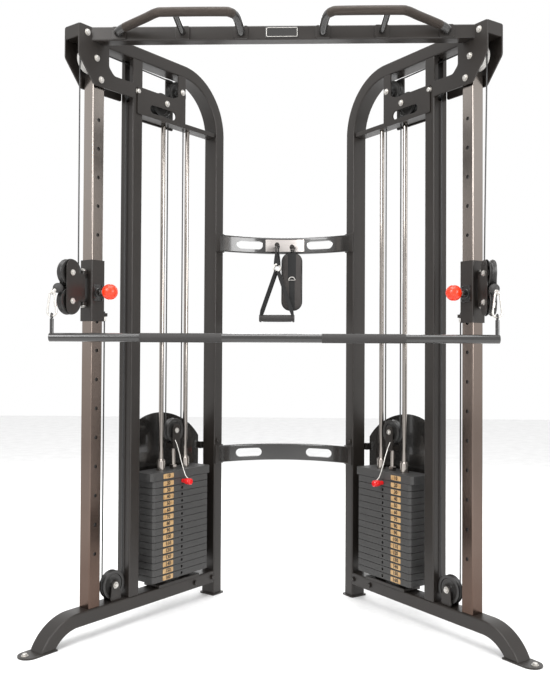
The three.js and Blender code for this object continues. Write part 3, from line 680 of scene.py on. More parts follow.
FINISHES = {
    "frame coat": lambda n: coat(n, colours().frame, 0.4, Metallic=0.2,
                                 Coat_Weight=0.12, Coat_Roughness=0.2),
    "gloss black": lambda n: coat(n, colours().gloss, 0.2, 300.0, 0.00002,
                                  Coat_Weight=0.8, Coat_Roughness=0.06),
    "bar black": lambda n: coat(n, colours().gloss, 0.26, 500.0, 0.00003,
                                Coat_Weight=0.7, Coat_Roughness=0.1),
    "upright chrome": upright_chrome,
    "rod chrome": lambda n: metal(n, (0.4, 0.365, 0.335), 0.12),
    "zinc": lambda n: metal(n, (0.52, 0.5, 0.48), 0.24, (1, 1, 1), 300.0),
    # Pale steel for the upper crossmember's painted highlight strip.
    "bright steel": lambda n: metal(n, (0.75, 0.7, 0.67), 0.3, (0.04, 1, 1), 400.0),
    "plate iron": plate_iron,
    "pulley nylon": lambda n: coat(n, (0.022, 0.021, 0.02), 0.36, 200.0, 0.00003),
    "pulley grey": lambda n: coat(n, (0.5, 0.49, 0.47), 0.4, 200.0, 0.00003),
    "cable jacket": lambda n: coat(n, (0.018, 0.018, 0.018), 0.3, 400.0, 0.00003),
    "knob orange": lambda n: coat(n, colours().knob, 0.3, 150.0, 0.00002,
                                  Coat_Weight=0.2, Coat_Roughness=0.05),
    "pin red": lambda n: coat(n, colours().pin, 0.26, 200.0, 0.00002, Coat_Weight=0.4),
    "rubber": lambda n: coat(n, (0.024, 0.023, 0.022), 0.6, 350.0, 0.00012),
    "grip bronze": lambda n: knurled(n, colours().grip, Metallic=0.7),
    "grip foam": lambda n: coat(n, (0.022, 0.02, 0.019), 0.62, 250.0, 0.0002),
    "webbing": lambda n: woven(n, (0.03, 0.029, 0.028)),
    "cuff nylon": lambda n: quilted(n, (0.048, 0.042, 0.039)),
    "label card": label_card,
    "label ink": lambda n: coat(n, (0.02, 0.014, 0.01), 0.5),
    "floor": lambda n: coat(n, colours().floor, 0.6, 60.0, 0.00005),
}


def finish(name):
    return bpy.data.materials.get(name) or FINISHES[name](name)


# ---- the values a user would change ---------------------------------------------------------------
def colour(name, text, value):
    return bpy.props.FloatVectorProperty(name=name, description=text, subtype="COLOR", size=3,
                                         min=0, max=1, default=value)


def length(name, text, value):
    return bpy.props.FloatProperty(name=name, description=text, default=value, min=0, unit="LENGTH",
                                   precision=4)


class TrainerColours(bpy.types.PropertyGroup):
    frame: colour("Frame coat", "Satin coat on the steel frame", (0.016, 0.0128, 0.0106))
    # The three upright colours are a painted reflection, graded by height up the chromed posts.
    gloss: colour("Gloss black", "Crossmembers, shrouds and bar", (0.012, 0.011, 0.01))
    upright_low: colour("Upright, low", "Chromed post near the floor", (0.1, 0.066, 0.052))
    upright_mid: colour("Upright, middle", "Chromed post at hand height", (0.23, 0.185, 0.16))
    upright_high: colour("Upright, high", "Chromed post near the top", (0.33, 0.295, 0.27))
    plate: colour("Weight plates", "Cast plates", (0.042, 0.041, 0.04))
    label: colour("Label", "Middle of the number labels", (0.46, 0.3, 0.14))
    label_edge: colour("Label edge", "Stained part of the number labels", (0.3, 0.17, 0.06))
    knob: colour("Knob", "Ball on the pull pin", (0.9, 0.03, 0.002))
    pin: colour("Selector pin", "Knob of the weight selector", (0.62, 0.01, 0.012))
    grip: colour("Knurled grips", "Pull-up grips", (0.06, 0.048, 0.04))
    floor: colour("Floor", "Studio floor", (0.97, 0.97, 0.97))


class TrainerSizes(bpy.types.PropertyGroup):
    tube_edge: length("Tube edge", "Rounding of the frame tubes' corners", 0.005)
    wall: length("Tube wall", "Thickness of the chromed posts' walls", 0.0025)
    bolt: length("Bolt head", "Radius of the frame's bolt heads", 0.0085)
    plate_gap: length("Plate gap", "Dark joint between weight plates", 0.001)
    rib_pitch: length("Rib pitch", "Spacing of the ribs on the bar's grips", 0.006)


def colours():
    return bpy.context.scene.trainer_colours


def sizes():
    return bpy.context.scene.trainer_sizes


# ---- the towers' fixed frame ----------------------------------------------------------------------
def tube_section():
    """The frame tube's outline about its middle."""
    return rounded(-TUBE_T, TUBE_T, -TUBE_H, TUBE_H, 1000 * sizes().tube_edge)


class TRAINER_OT_base_rails(bpy.types.Operator):
    """Base rails with bent front legs, toe plates and the bottom pulleys' cheeks"""
    bl_idname = "trainer.base_rails"
    bl_label = "Base rails"

    def execute(self, context):
        radius, bend = 140.0, (-72.0, BASE_TOP - TUBE_T - 140.0)
        section = tube_section()
        for side in SIDES:
            rail, rings = Shell(), []
            for x in (608.7, 400.0, 170.0, bend[0] + 2):
                rings.append([(x, b, bend[1] + radius + a) for a, b in section])
            for i in range(19):
                ring = []
                for a, b in section:
                    reach = radius + a
                    end = math.pi / 2 - math.asin((4 - bend[1]) / reach)
                    sweep = math.pi / 2 + end * i / 18
                    ring.append((bend[0] + reach * math.cos(sweep), b, bend[1] + reach * math.sin(sweep)))
                rings.append(ring)
            rail.rings(rings)
            toe = [(-160, -36), (-160, 36), *arc((-247, 0), 36, 90, 270, 20)]
            rail.plate([toe, circle((-262, 0), 6, 24)], 0, 6, 1.2, flat=True)
            for y in (-17.0, 17.0):
                cheek = eased([(78, BASE_TOP - 3), (128, BASE_TOP - 3), (119, LOW_AT[1] + 16),
                               (85, LOW_AT[1] + 16)], 12)
                rail.plate([cheek], y - 2.5, y + 2.5, 0.8)
            show(f"{side}_base_rail_tube", rail, tower(side), "frame coat", "frame", f"{side}_base_rail")
        return {"FINISHED"}


class TRAINER_OT_rear_uprights(bpy.types.Operator):
    """Rear uprights that bend forward into the top tubes, on their foot plates"""
    bl_idname = "trainer.rear_uprights"
    bl_label = "Rear uprights"

    def execute(self, context):
        centre = (REAR_X - 210, TOP_HIGH - TUBE_T - 210)
        for side in SIDES:
            line = [(REAR_X, 5.0), (REAR_X, 700.0), (REAR_X, 1400.0), *arc(centre, 210, 0, 90, 28),
                    (200.0, TOP_HIGH - TUBE_T), (-25.0, TOP_HIGH - TUBE_T)]
            post = Shell().sweep([(x, 0, z) for x, z in line], tube_section())
            post.plate([rounded(REAR_X - 31, REAR_X + 34, -38, 38, 8)], 0, 6, 1.2, flat=True)
            show(f"{side}_rear_upright_tube", post, tower(side), "frame coat", "frame",
                 f"{side}_rear_upright")
        return {"FINISHED"}


class TRAINER_OT_mid_uprights(bpy.types.Operator):
    """Mid uprights, slotted at the top, with the guide rods' channel and slotted cheek plates"""
    bl_idname = "trainer.mid_uprights"
    bl_label = "Mid uprights"

    def execute(self, context):
        low, top, back = BASE_TOP + GAP, TOP_LOW - GAP, MID_X + TUBE_T
        plate = eased([(back - 30, 1845), (422, 1845), (422, top), (382, top), (382, 1958), (350, 1945),
                       (back - 30, 1945)], 7)
        for side in SIDES:
            post = Shell().sweep([(MID_X, 0, low), (MID_X, 0, 1000), (MID_X, 0, top)],
                                 tube_section())
            mouth = Shell().box(MID_X - 30, MID_X + 30, -13, 13, RETURN_AT[1] - 42, top + 40, 10, 0.5)
            slotted = carved(post.mesh(tower(side)), mouth, tower(side))
            put(f"{side}_mid_upright_tube", slotted, "frame coat", "frame", f"{side}_mid_upright")
            rest = Shell()
            for y in (-TUBE_H - 5, TUBE_H - 1):
                rest.plate([plate, racetrack(235, 370, 1878, 15)], y, y + 6, 1.2)
            rest.box(back - 1, 607, -25, 25, ROD_TOP + GAP, ROD_TOP + 18, 3, 1.5)
            show(f"{side}_top_cheeks", rest, tower(side), "frame coat", "frame", f"{side}_mid_upright")
        return {"FINISHED"}


class TRAINER_OT_front_uprights(bpy.types.Operator):
    """Chromed front uprights with their row of pin holes"""
    bl_idname = "trainer.front_uprights"
    bl_label = "Front uprights"

    def execute(self, context):
        wall = 1000 * sizes().wall
        outer, bore = rounded(-POST, POST, -POST, POST, 4), POST - wall
        inner = rounded(-bore, bore, -bore, bore, 1.5)
        for side in SIDES:
            place = tower(side)
            low, high = BASE_TOP + GAP, 1940.0
            post = Shell().sweep([(0, 0, low), (0, 0, high)], outer, inner=inner)
            aim = (place.to_3x3() @ Vector((0, -1, 0))).normalized()
            drilled = Growth.grown(
                tree_of("row of holes", hole_tree), post.mesh(place), "upright chrome", Count=HOLE_COUNT,
                First=metres(place, 0, -24, HOLE_Z), Step=(0, 0, HOLE_PITCH / 1000), Aim=aim,
                Radius=HOLE_R / 1000, Depth=0.012)
            drilled.shade_smooth()
            drilled.set_sharp_from_angle(angle=math.radians(32))
            put(f"{side}_chromed_post", drilled, "upright chrome", "frame", f"{side}_front_upright")
            # A dark solid inside the hollow post is painted shade: it makes the pin holes read dark where the
            # tube's inside lies in shadow.
            shade_core = Shell().sweep([(0, 0, low + 7), (0, 0, high - 30)],
                                  rounded(-wall * 8, wall * 8, -wall * 8, wall * 8, 1))
            show(f"{side}_post_inside", shade_core, place, "rubber", "frame")
        return {"FINISHED"}


class TRAINER_OT_top_gussets(bpy.types.Operator):
    """Gusset plates and caps that tie the front uprights, top tubes and beam together"""
    bl_idname = "trainer.top_gussets"
    bl_label = "Top gussets"

    def execute(self, context):
        edge = eased([(-100, TOP_HIGH), (-100, 1985), (-32, 1896), (155, 1896), (155, 1950), (58, 1950),
                      (34, 1975), (34, TOP_HIGH)], 8)
        for side in SIDES:
            gusset = Shell()
            for low, high in ((-TUBE_H - 6, -TUBE_H - GAP), (TUBE_H + GAP, TUBE_H + 6)):
                gusset.plate([edge], low, high, 1.2)
            gusset.box(-100, -28, -TUBE_H - 3, TUBE_H + 3, TOP_LOW + 2, TOP_HIGH, 4, 2.5)
            show(f"{side}_top_gusset_plates", gusset, tower(side), "frame coat", "frame",
                 f"{side}_top_gusset")
        return {"FINISHED"}


class TRAINER_OT_guide_rods(bpy.types.Operator):
    """Chromed guide rods, their foot block and rubber bumpers"""
    bl_idname = "trainer.guide_rods"
    bl_label = "Guide rods"

    def execute(self, context):
        for side in SIDES:
            rods, foot, bumpers = Shell(), Shell(), Shell()
            for x in ROD_X:
                rods.rod((x, 0, BASE_TOP + 6), (x, 0, ROD_TOP), 9, 40)
                bumpers.lathe([(0, 0), (20, 0), (22, 2), (22, 11), (20, 13.4), (0, 13.4)],
                              (x, 0, BASE_TOP + 12), (0, 0, 1))
            foot.box(STACK_X - 110, STACK_X + 110, -40, 40, BASE_TOP + GAP, BASE_TOP + 12, 3, 1.5)
            show(f"{side}_rods", rods, tower(side), "rod chrome", "frame", f"{side}_guide_rods")
            show(f"{side}_rod_foot", foot, tower(side), "frame coat", "frame")
            show(f"{side}_rod_bumpers", bumpers, tower(side), "rubber", "frame")
        return {"FINISHED"}


class TRAINER_OT_shrouds(bpy.types.Operator):
    """Bowed, arched shrouds behind the weight stacks"""
    bl_idname = "trainer.shrouds"
    bl_label = "Shrouds"

    def execute(self, context):
        x0, x1 = MID_X + TUBE_T + 4, REAR_X - TUBE_T - 4
        middle, y, low = (x0 + x1) / 2, TUBE_H + 24, 135.0
        tops = [quadratic((x0, 640), (x0 + 60, 738), (middle, 742), i / 14) for i in range(15)]
        tops += [quadratic((middle, 742), (x1 - 60, 738), (x1, 640), i / 14) for i in range(1, 15)]
        for side in SIDES:
            rings = []
            for x, top in tops:
                s = (x - x0) / (x1 - x0)
                outer = y + 4 * s * (1 - s) * 30
                rings.append([(x, py, z) for py, z in rounded(outer - 3, outer, low, top, 1.3, 3)])
            sheet = Shell().rings(rings)
            for x, z in ((x0 - 1, 600), (x1 + 1, 600), (x0 - 1, 180), (x1 + 1, 180)):
                sheet.box(x - 9, x + 9, TUBE_H + GAP, y + 1.5, z - 14, z + 14, 2, 1)
            show(f"{side}_shroud_sheet", sheet, tower(side), "gloss black", "frame", f"{side}_stack_shroud")
        return {"FINISHED"}


class TRAINER_OT_frame_bolts(bpy.types.Operator):
    """Zinc bolts of the fixed frame"""
    bl_idname = "trainer.frame_bolts"
    bl_label = "Frame bolts"

    def execute(self, context):
        face, cheek, gusset = -TUBE_H, -TUBE_H - 5, -TUBE_H - 6
        near = [(-2, gusset, 1920), (A_AT[0], cheek, A_AT[1]), (B_AT[0], cheek, B_AT[1]),
                (RETURN_AT[0], face - 0.2, RETURN_AT[1]), (LOW_AT[0], -19.5, LOW_AT[1]),
                (TOP_AT[0], gusset, TOP_AT[1]), (-64, gusset, 2067)]
        spots = [(at, (0, -1, 0)) for at in near] + [((x, -y, z), (0, 1, 0)) for x, y, z in near]
        spots.append(((-262, 0, 6), (0, 0, 1)))
        for side in SIDES:
            bolts(f"{side}_frame_bolts", tower(side), spots, "frame", 1000 * sizes().bolt)
            dark = [((x, face, z), (0, -1, 0)) for x, z in ((600, 75), (500, 75), (REAR_X - 8, 621))]
            bolts(f"{side}_blackened_bolts", tower(side), dark, "frame", 1000 * sizes().bolt,
                  look="frame coat")
        return {"FINISHED"}


# ---- weight stacks --------------------------------------------------------------------------------
def plate_outline(grow=0.0):
    half, deep, cut = 150.0 + grow, 50.0, 8.0
    return [(STACK_X + x, y) for x, y in (
        (-half + cut, -deep), (half - cut, -deep), (half, -deep + cut), (half, deep - cut),
        (half - cut, deep), (-half + cut, deep), (-half, deep - cut), (-half, -deep + cut))]


def one_plate(place, low, high, grow=0.0):
    """A plate with its rod holes and the selector hole in its front edge."""
    plate = Shell().plate([plate_outline(grow), circle((STACK_X, 0), 12.5, 24),
                           *(circle((x, 0), 11, 24) for x in ROD_X)], low, high, 1.6, flat=True)
    middle = (low + high) / 2
    drill = Shell().rod((STACK_X, -56, middle), (STACK_X, -20, middle), 5.6, 24)
    return carved(plate.mesh(place), drill, place)


class TRAINER_OT_weight_plates(bpy.types.Operator):
    """The resting weight plates"""
    bl_idname = "trainer.weight_plates"
    bl_label = "Weight plates"

    def execute(self, context):
        gap = 1000 * sizes().plate_gap
        for side in SIDES:
            plate = one_plate(tower(side), STACK_Z, STACK_Z + PLATE_H - gap)
            row(f"{side}_resting_plates", plate, RESTING, (0, 0, PLATE_H / 1000), "plate iron", "frame",
                f"{side}_weight_plates")
        return {"FINISHED"}


def number_mesh(text, place):
    """Figures as a thin solid, drawn about the origin with their height along z."""
    curve = bpy.data.curves.new("figures", "FONT")
    curve.body, curve.size, curve.extrude, curve.align_x, curve.align_y = text, 18.5, 0.25, "CENTER", "CENTER"
    curve.resolution_u, curve.offset = 2, 0.8
    mesh = evaluated(bpy.data.objects.new("figures", curve))
    mesh.transform(place)
    return mesh


class TRAINER_OT_number_labels(bpy.types.Operator):
    """Numbered cards on the front edges of the plates"""
    bl_idname = "trainer.number_labels"
    bl_label = "Number labels"

    def execute(self, context):
        for side in SIDES:
            x = 331.0
            for body, rows in (("frame", range(RESTING)), (f"{side}_stack", (RESTING, RESTING + 1))):
                cards, figures = Shell(), Shell()
                for i in rows:
                    z = STACK_Z + PLATE_H * (i + 0.5) - 0.8 + (2.5 if i > RESTING else 0)
                    cards.box(x - 27, x + 27, -50.7, -49.5, z - 8.8, z + 8.8, 3, 0.2)
                    flip = Matrix.Scale(-1 if side == "right" else 1, 4, (1, 0, 0))
                    stand = Matrix.Translation((x, -50.7, z)) @ flip @ turn(90, "X")
                    figures.bm.from_mesh(number_mesh(str(10 * (RESTING + 2 - i)), stand))
                word = "resting" if body == "frame" else "lifted"
                show(f"{side}_{word}_cards", cards, tower(side), "label card", body)
                show(f"{side}_{word}_figures", figures, tower(side), "label ink", body, level=False)
        return {"FINISHED"}


class TRAINER_OT_head_plates(bpy.types.Operator):
    """Head plates with their bushes, hanger, selector rod and floating pulley's cheeks"""
    bl_idname = "trainer.head_plates"
    bl_label = "Head plates"

    def execute(self, context):
        middle, top = STACK_TOP + PLATE_H, STACK_TOP + PLATE_H + 30
        for side in SIDES:
            body, place = f"{side}_stack", tower(side)
            put(f"{side}_lifted_plate", one_plate(place, STACK_TOP + GAP, middle - 0.6), "plate iron", body,
                f"{side}_head_plate")
            head = Shell().plate([plate_outline(12), *(circle((x, 0), 10, 24) for x in ROD_X)],
                                 middle, top, 2, flat=True)
            show(f"{side}_head_casting", head, place, "plate iron", body)
            bright = Shell()
            for x in ROD_X:
                profile = [(9.8, 0), (17, 0), (17, 66), (15.6, 68), (16.6, 70), (15, 72), (9.8, 72)]
                bright.lathe(profile, (x, 0, middle), (0, 0, 1), 40, whole=True)
            bright.rod((STACK_X, 0, top), (STACK_X, 0, 609), 9, 32)
            bright.lathe([(0, 0), (14, 0), (15, 1.5), (15, 14), (13.5, 16), (0, 16)],
                         (STACK_X, 0, top), (0, 0, 1), 6)
            bright.rod((STACK_X, 0, STACK_Z + 12), (STACK_X, 0, middle), 11, 32)
            bright.loop((STACK_X - 10, -12, 640), 9, 1.3, (0.5, 1, 0), 32)
            show(f"{side}_bright_fittings", bright, place, "rod chrome", body)
            cheeks = Shell()
            for y in (-16.5, 16.5):
                cheeks.plate([stadium(STACK_X, 606, FLOAT_AT[1] + 24, 20)], y - 2.5, y + 2.5, 0.9)
            cheeks.box(STACK_X - 19, STACK_X + 19, -18, 18, 608, FLOAT_AT[1] - 50, 3, 1)
            show(f"{side}_hanger_cheeks", cheeks, place, "frame coat", body)
            bolts(f"{side}_hanger_bolts", place, [((STACK_X, -19, FLOAT_AT[1]), (0, -1, 0)),
                                                  ((STACK_X, 19, FLOAT_AT[1]), (0, 1, 0))], body, 7.5, 6)
        return {"FINISHED"}


LANYARD = ((396, -20, 640), (392, -34, 622), (389, -50, 590), (390, -64, 548), (395, -75, 513),
           (402, -81, 501))


class TRAINER_OT_selector_pins(bpy.types.Operator):
    """Weight selector pins and their lanyards"""
    bl_idname = "trainer.selector_pins"
    bl_label = "Selector pins"

    def execute(self, context):
        z = STACK_TOP + PLATE_H / 2
        for side in SIDES:
            place, body = tower(side), f"{side}_selector"
            knob = Shell().lathe([(0, 0), (9, 0), (11.6, 2), (12, 6), (10.4, 9), (12, 12), (12, 22), (10, 30),
                                  (7.6, 33), (7.6, 44), (0, 44)], (STACK_X, -96, z), (0, 1, 0))
            show(f"{side}_selector_knob", knob, place, "pin red", body, f"{side}_selector_pin")
            shaft = Shell().rod((STACK_X, -60, z), (STACK_X, 14, z), 4.8)
            show(f"{side}_selector_shaft", shaft, place, "rod chrome", body)
            line = spline(LANYARD, 6)
            cord = show(f"{side}_selector_lanyard", Shell().wire(line, 1.8, steps=10), place, "zinc", None,
                        f"{side}_pin_lanyard", level=False)
            path = [metres(place, *p) for p in line]
            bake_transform(cord)
        return {"FINISHED"}


# ---- pulleys and cables ---------------------------------------------------------------------------
def sheave(shell, size, x, z):
    """A grooved cable pulley with a hub and a dished web, turned about y."""
    pitch, rim, half = size
    root, dish = pitch - CABLE_R - 1.2, half * 0.45
    side = [(5.4, half), (13, half), (14, half - 1), (15, dish + 1), (16.5, dish), (root - 6, dish),
            (root - 4.5, dish + 1), (root - 3.5, half - 0.6), (root - 2.5, half), (rim - 0.8, half),
            (rim, half - 1), (root + 2.6, 3.4), (root + 0.6, 2.0)]
    profile = side + [(root, 0)] + [(r, -h) for r, h in reversed(side)]
    return shell.lathe(profile, (x, 0, z), (0, 1, 0), 64, whole=True)


class TRAINER_OT_pulleys(bpy.types.Operator):
    """Every cable pulley, each on its own turning body"""
    bl_idname = "trainer.pulleys"
    bl_label = "Pulleys"

    def execute(self, context):
        fixed = (("top_front_pulley", SHEAVE, TOP_AT, "pulley grey"), ("top_rear_pulley", SHEAVE, A_AT, None),
                 ("top_inner_pulley", SHEAVE, B_AT, None), ("return_pulley", RETURN_SHEAVE, RETURN_AT, None),
                 ("floating_pulley", SHEAVE, FLOAT_AT, None), ("bottom_pulley", LOW_SHEAVE, LOW_AT, None))
        for side in SIDES:
            for name, size, at, look in fixed:
                show(f"{side}_{name}_wheel", sheave(Shell(), size, *at), tower(side), look or "pulley nylon",
                     f"{side}_{name}_body", f"{side}_{name}", smooth=40, level=False)
            for name, z in (("upper", UPPER_Z), ("lower", LOWER_Z)):
                show(f"{side}_{name}_carriage_wheel", sheave(Shell(), SHEAVE, -REACH, z), bracket(side),
                     "pulley nylon", f"{side}_{name}_pulley", f"{side}_{name}_carriage_pulley",
                     smooth=40, level=False)
        return {"FINISHED"}


def upright_line(x, low, high, steps=24):
    return straight((x, 0, low), (x, 0, high), steps)


def wrap(at, size, start, stop, steps=14):
    return [(x, 0, z) for x, z in arc(at, size[0], start, stop, steps)]


class TRAINER_OT_cables(bpy.types.Operator):
    """Jacketed steel cables, in lengths round the pulleys and down to the carriages; only the floating loop
    and the nose ride on moving bodies.
    """
    bl_idname = "trainer.cables"
    bl_label = "Cables"

    def execute(self, context):
        pitch = SHEAVE[0]
        down, up, front = B_AT[0] + pitch, A_AT[0] + pitch, TOP_AT[0] - pitch
        for side in SIDES:
            place, swing = tower(side), bracket(side)
            turned = tower(side).inverted() @ swing

            def lay(name, path, body=None, nodes=()):
                return show(f"{side}_cable_{name}", Shell().wire(path, CABLE_R, steps=12), place,
                            "cable jacket", body, *nodes, level=False)

            lay("return_run", [*wrap(LOW_AT, LOW_SHEAVE, 180, 360, 20),
                               *wrap(RETURN_AT, RETURN_SHEAVE, 180, 90), *wrap(B_AT, SHEAVE, 90, 0)],
                "frame", (f"{side}_cable",))
            lay("top_run", [*wrap(A_AT, SHEAVE, 0, 90), *wrap(TOP_AT, SHEAVE, 90, 180)], "frame")
            lay("floating_loop", wrap(FLOAT_AT, SHEAVE, 180, 360, 20), f"{side}_stack")
            for name, x, high in (("rising_strand", up, A_AT[1]), ("falling_strand", down, B_AT[1])):
                strand = lay(name, upright_line(x, high, FLOAT_AT[1]))
                metres(place, x, 0, high)
                metres(place, x, 0, FLOAT_AT[1])
                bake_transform(strand)
            hitch = turned @ Vector((-REACH + pitch, 0, UPPER_Z))
            drop = lay("drop", straight((front, 0, TOP_AT[1]), hitch, 24))
            metres(place, front, 0, TOP_AT[1])
            metres(place, *hitch)
            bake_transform(drop)
            foot = LOW_AT[0] - LOW_SHEAVE[0]
            tail = lay("tail", upright_line(foot, LOW_AT[1], PIN_Z - 62))
            metres(place, foot, 0, LOW_AT[1])
            metres(place, foot, 0, PIN_Z - 84)
            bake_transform(tail)
            nose = [turned @ Vector(p) for p in wrap((-REACH, UPPER_Z), SHEAVE, 0, -80)]
            lay("nose", nose, f"{side}_bracket")
            leave = [turned @ Vector((x, 0, z)) for x, z in (
                (-57, UPPER_Z - 41.4), (-70, BALL[1] + 6.0), (-91, BALL[1] + 3.9), (-103, BALL[1] + 1.9))]
            tip = lay("tip", leave)
            metres(place, *leave[0])
            metres(place, *leave[2])
            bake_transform(tip)
        return {"FINISHED"}


# ---- carriages ------------------------------------------------------------------------------------
class TRAINER_OT_carriages(bpy.types.Operator):
    """Sliding carriages with their pin housings, hinge lugs and cable anchors"""
    bl_idname = "trainer.carriages"
    bl_label = "Carriages"

    def execute(self, context):
        low, high = PIN_Z - 99, PIN_Z + 112
        for side in SIDES:
            place, body = tower(side), f"{side}_carriage"
            sleeve = Shell().sweep([(0, 0, low), (0, 0, low + 1.2), (0, 0, high - 1.2), (0, 0, high)],
                                   rounded(-30, 30, -30, 30, 5), inner=rounded(-25.6, 25.6, -25.6, 25.6, 2))
            for z in (YOKE_Z + 54, YOKE_Z - 54):
                lug = eased([(-26.6, -9), (-26.6, 9), (HINGE_X - 9, 9), (HINGE_X - 9, -9)], 7, 6)
                sleeve.plate([lug, circle((HINGE_X, 0), 5.4, 20)], z - 6, z + 6, 1, flat=True)
            sleeve.plate([eased([(29, -8), (29, 8), (64, 8), (64, -8)], 4), circle((ANCHOR_X, 0), 3.6, 20)],
                         PIN_Z - 80, PIN_Z - 68, 1, flat=True)
            show(f"{side}_sleeve", sleeve, place, "frame coat", body, f"{side}_carriage_sleeve")
            housing = Shell().lathe([(5.3, 0), (16, 0), (16, 6), (15, 7), (15, 22), (14, 24), (5.3, 24)],
                                    (0, -30, PIN_Z), (0, -1, 0), 40, whole=True)
            housing.box(-21, 21, -33, -29.5, PIN_Z - 29, PIN_Z + 29, 6, 1)
            show(f"{side}_pin_housing", housing, place, "gloss black", body)
            ferrule = Shell().lathe([(2.6, 0), (5, 0), (5.4, 1), (5.4, 13), (4.4, 15), (2.6, 15)],
                                    (ANCHOR_X, 0, PIN_Z - 95.5), (0, 0, 1), 24, whole=True)
            show(f"{side}_anchor_ferrule", ferrule, place, "zinc", body)
            bolts(f"{side}_housing_screws", place, [((x, -33, PIN_Z + z), (0, -1, 0)) for x, z in (
                (-15, -23), (15, -23), (-15, 23), (15, 23))], body, 3.2, 2.4, "gloss black")
            knob = Shell().ball((0, -90, PIN_Z), 27, 56, axis=(0, 1, 0))
            knob.lathe([(0, 0), (10.5, 0), (11.5, 1.5), (14.5, 7), (0, 7)], (0, -60.5, PIN_Z), (0, -1, 0), 40)
            show(f"{side}_pull_knob", knob, place, "knob orange", f"{side}_pin", f"{side}_pull_pin")
            pin = Shell().rod((0, -26, PIN_Z), (0, -70, PIN_Z), 4.9)
            pin.lathe([(0, 0), (9, 0), (9, 4), (7.6, 5), (7.6, 7), (0, 7)], (0, -54.4, PIN_Z), (0, -1, 0))
            show(f"{side}_pull_pin_shaft", pin, place, "zinc", f"{side}_pin")
        return {"FINISHED"}


class TRAINER_OT_brackets(bpy.types.Operator):
    """Swivel brackets that hold the carriages' pulleys"""
    bl_idname = "trainer.brackets"
    bl_label = "Swivel brackets"

    def execute(self, context):
        low, high, half = LOWER_Z - 44, UPPER_Z + 44, 27.0
        cheek = [*arc((-REACH, low + half), half, 180, 340, 20), (-REACH + 31, LOWER_Z), (-7, LOWER_Z),
                 (-7, UPPER_Z), (-REACH + 31, UPPER_Z), *arc((-REACH, high - half), half, 20, 180, 20)]
        for side in SIDES:
            place, body = bracket(side), f"{side}_bracket"
            plates = Shell()
            for y in (-15.6, 15.6):
                plates.plate([cheek], y - 2, y + 2, 0.9)
            plates.box(-13, -7, -17, 17, YOKE_Z - 47.5, YOKE_Z + 47.5, 2, 1)
            show(f"{side}_bracket_plates", plates, place, "frame coat", body, f"{side}_swivel_bracket")
            joint = Shell().rod((0, 0, YOKE_Z - 64), (0, 0, YOKE_Z + 64), 5)
            for z in (YOKE_Z + 41, YOKE_Z - 41):
                joint.rod((0, 0, z - 6.5), (0, 0, z + 6.5), 9, 32, 1.4)
                joint.box(-8.5, 0, -8, 8, z - 6.3, z + 6.3, 1.5, 1)
            show(f"{side}_bracket_hinge", joint, place, "frame coat", body)
            ends = [((-REACH, y, z), (0, math.copysign(1, y), 0)) for z in (UPPER_Z, LOWER_Z)
                    for y in (-17.6, 17.6)]
            ends += [((0, 0, YOKE_Z + 60), (0, 0, 1)), ((0, 0, YOKE_Z - 60), (0, 0, -1))]
            bolts(f"{side}_bracket_bolts", place, ends, body, 7.5, 6)
        return {"FINISHED"}


class TRAINER_OT_cable_ends(bpy.types.Operator):
    """Ball stops, end eyes and carabiners"""
    bl_idname = "trainer.cable_ends"
    bl_label = "Cable ends"

    def execute(self, context):
        for side in SIDES:
            place, body = bracket(side), f"{side}_end"
            stop = Shell().ball((BALL[0], 0, BALL[1]), 17, 48, axis=(1, 0, 0.4))
            show(f"{side}_ball_stop", stop, place, "rubber", body, f"{side}_cable_end")
            fitting = Shell()
            fitting.lathe([(0, 0), (6.4, 0), (6.4, 5), (4.6, 7), (4.6, 12), (6, 13), (6, 18), (3.5, 20),
                           (0, 20)], (BALL[0] - 12, 0, BALL[1] - 7.5), (-0.75, 0, -0.45), 32)
            eye = Matrix.Rotation(math.radians(YAW[side]), 3, "Z") @ Vector((0, 1, 0))
            fitting.loop((RING[0], 0, RING[1]), 8.2, 1.9, eye)
            show(f"{side}_end_fitting", fitting, place, "zinc", body)
            top, bottom, wire = 8.0, 15.0, 3.5
            line = [(bottom - 1.2, 0, -HOOK_DROP + bottom + 9), *(
                (x, 0, z) for x, z in reversed(arc((0, -HOOK_DROP + bottom), bottom, 180, 360, 20)))]
            line += [(x, 0, z) for x, z in reversed(arc((0, -top), top, 0, 180, 16))]
            line.append((top + 0.6, 0, -top - 5))
            clip = Shell().wire(line, wire, steps=18)
            foot = -HOOK_DROP + bottom
            clip.rod((bottom - 0.6, 0, foot + 4), (top + 0.3, 0, -top - 2), wire - 0.6, 20)
            clip.rod((bottom - 2.8, 0, foot + 16), (bottom - 5.2, 0, -top - 24), wire + 0.9, 24)
            show(f"{side}_carabiner_body", clip, hook(side), "zinc", f"{side}_hook", f"{side}_carabiner")
        return {"FINISHED"}


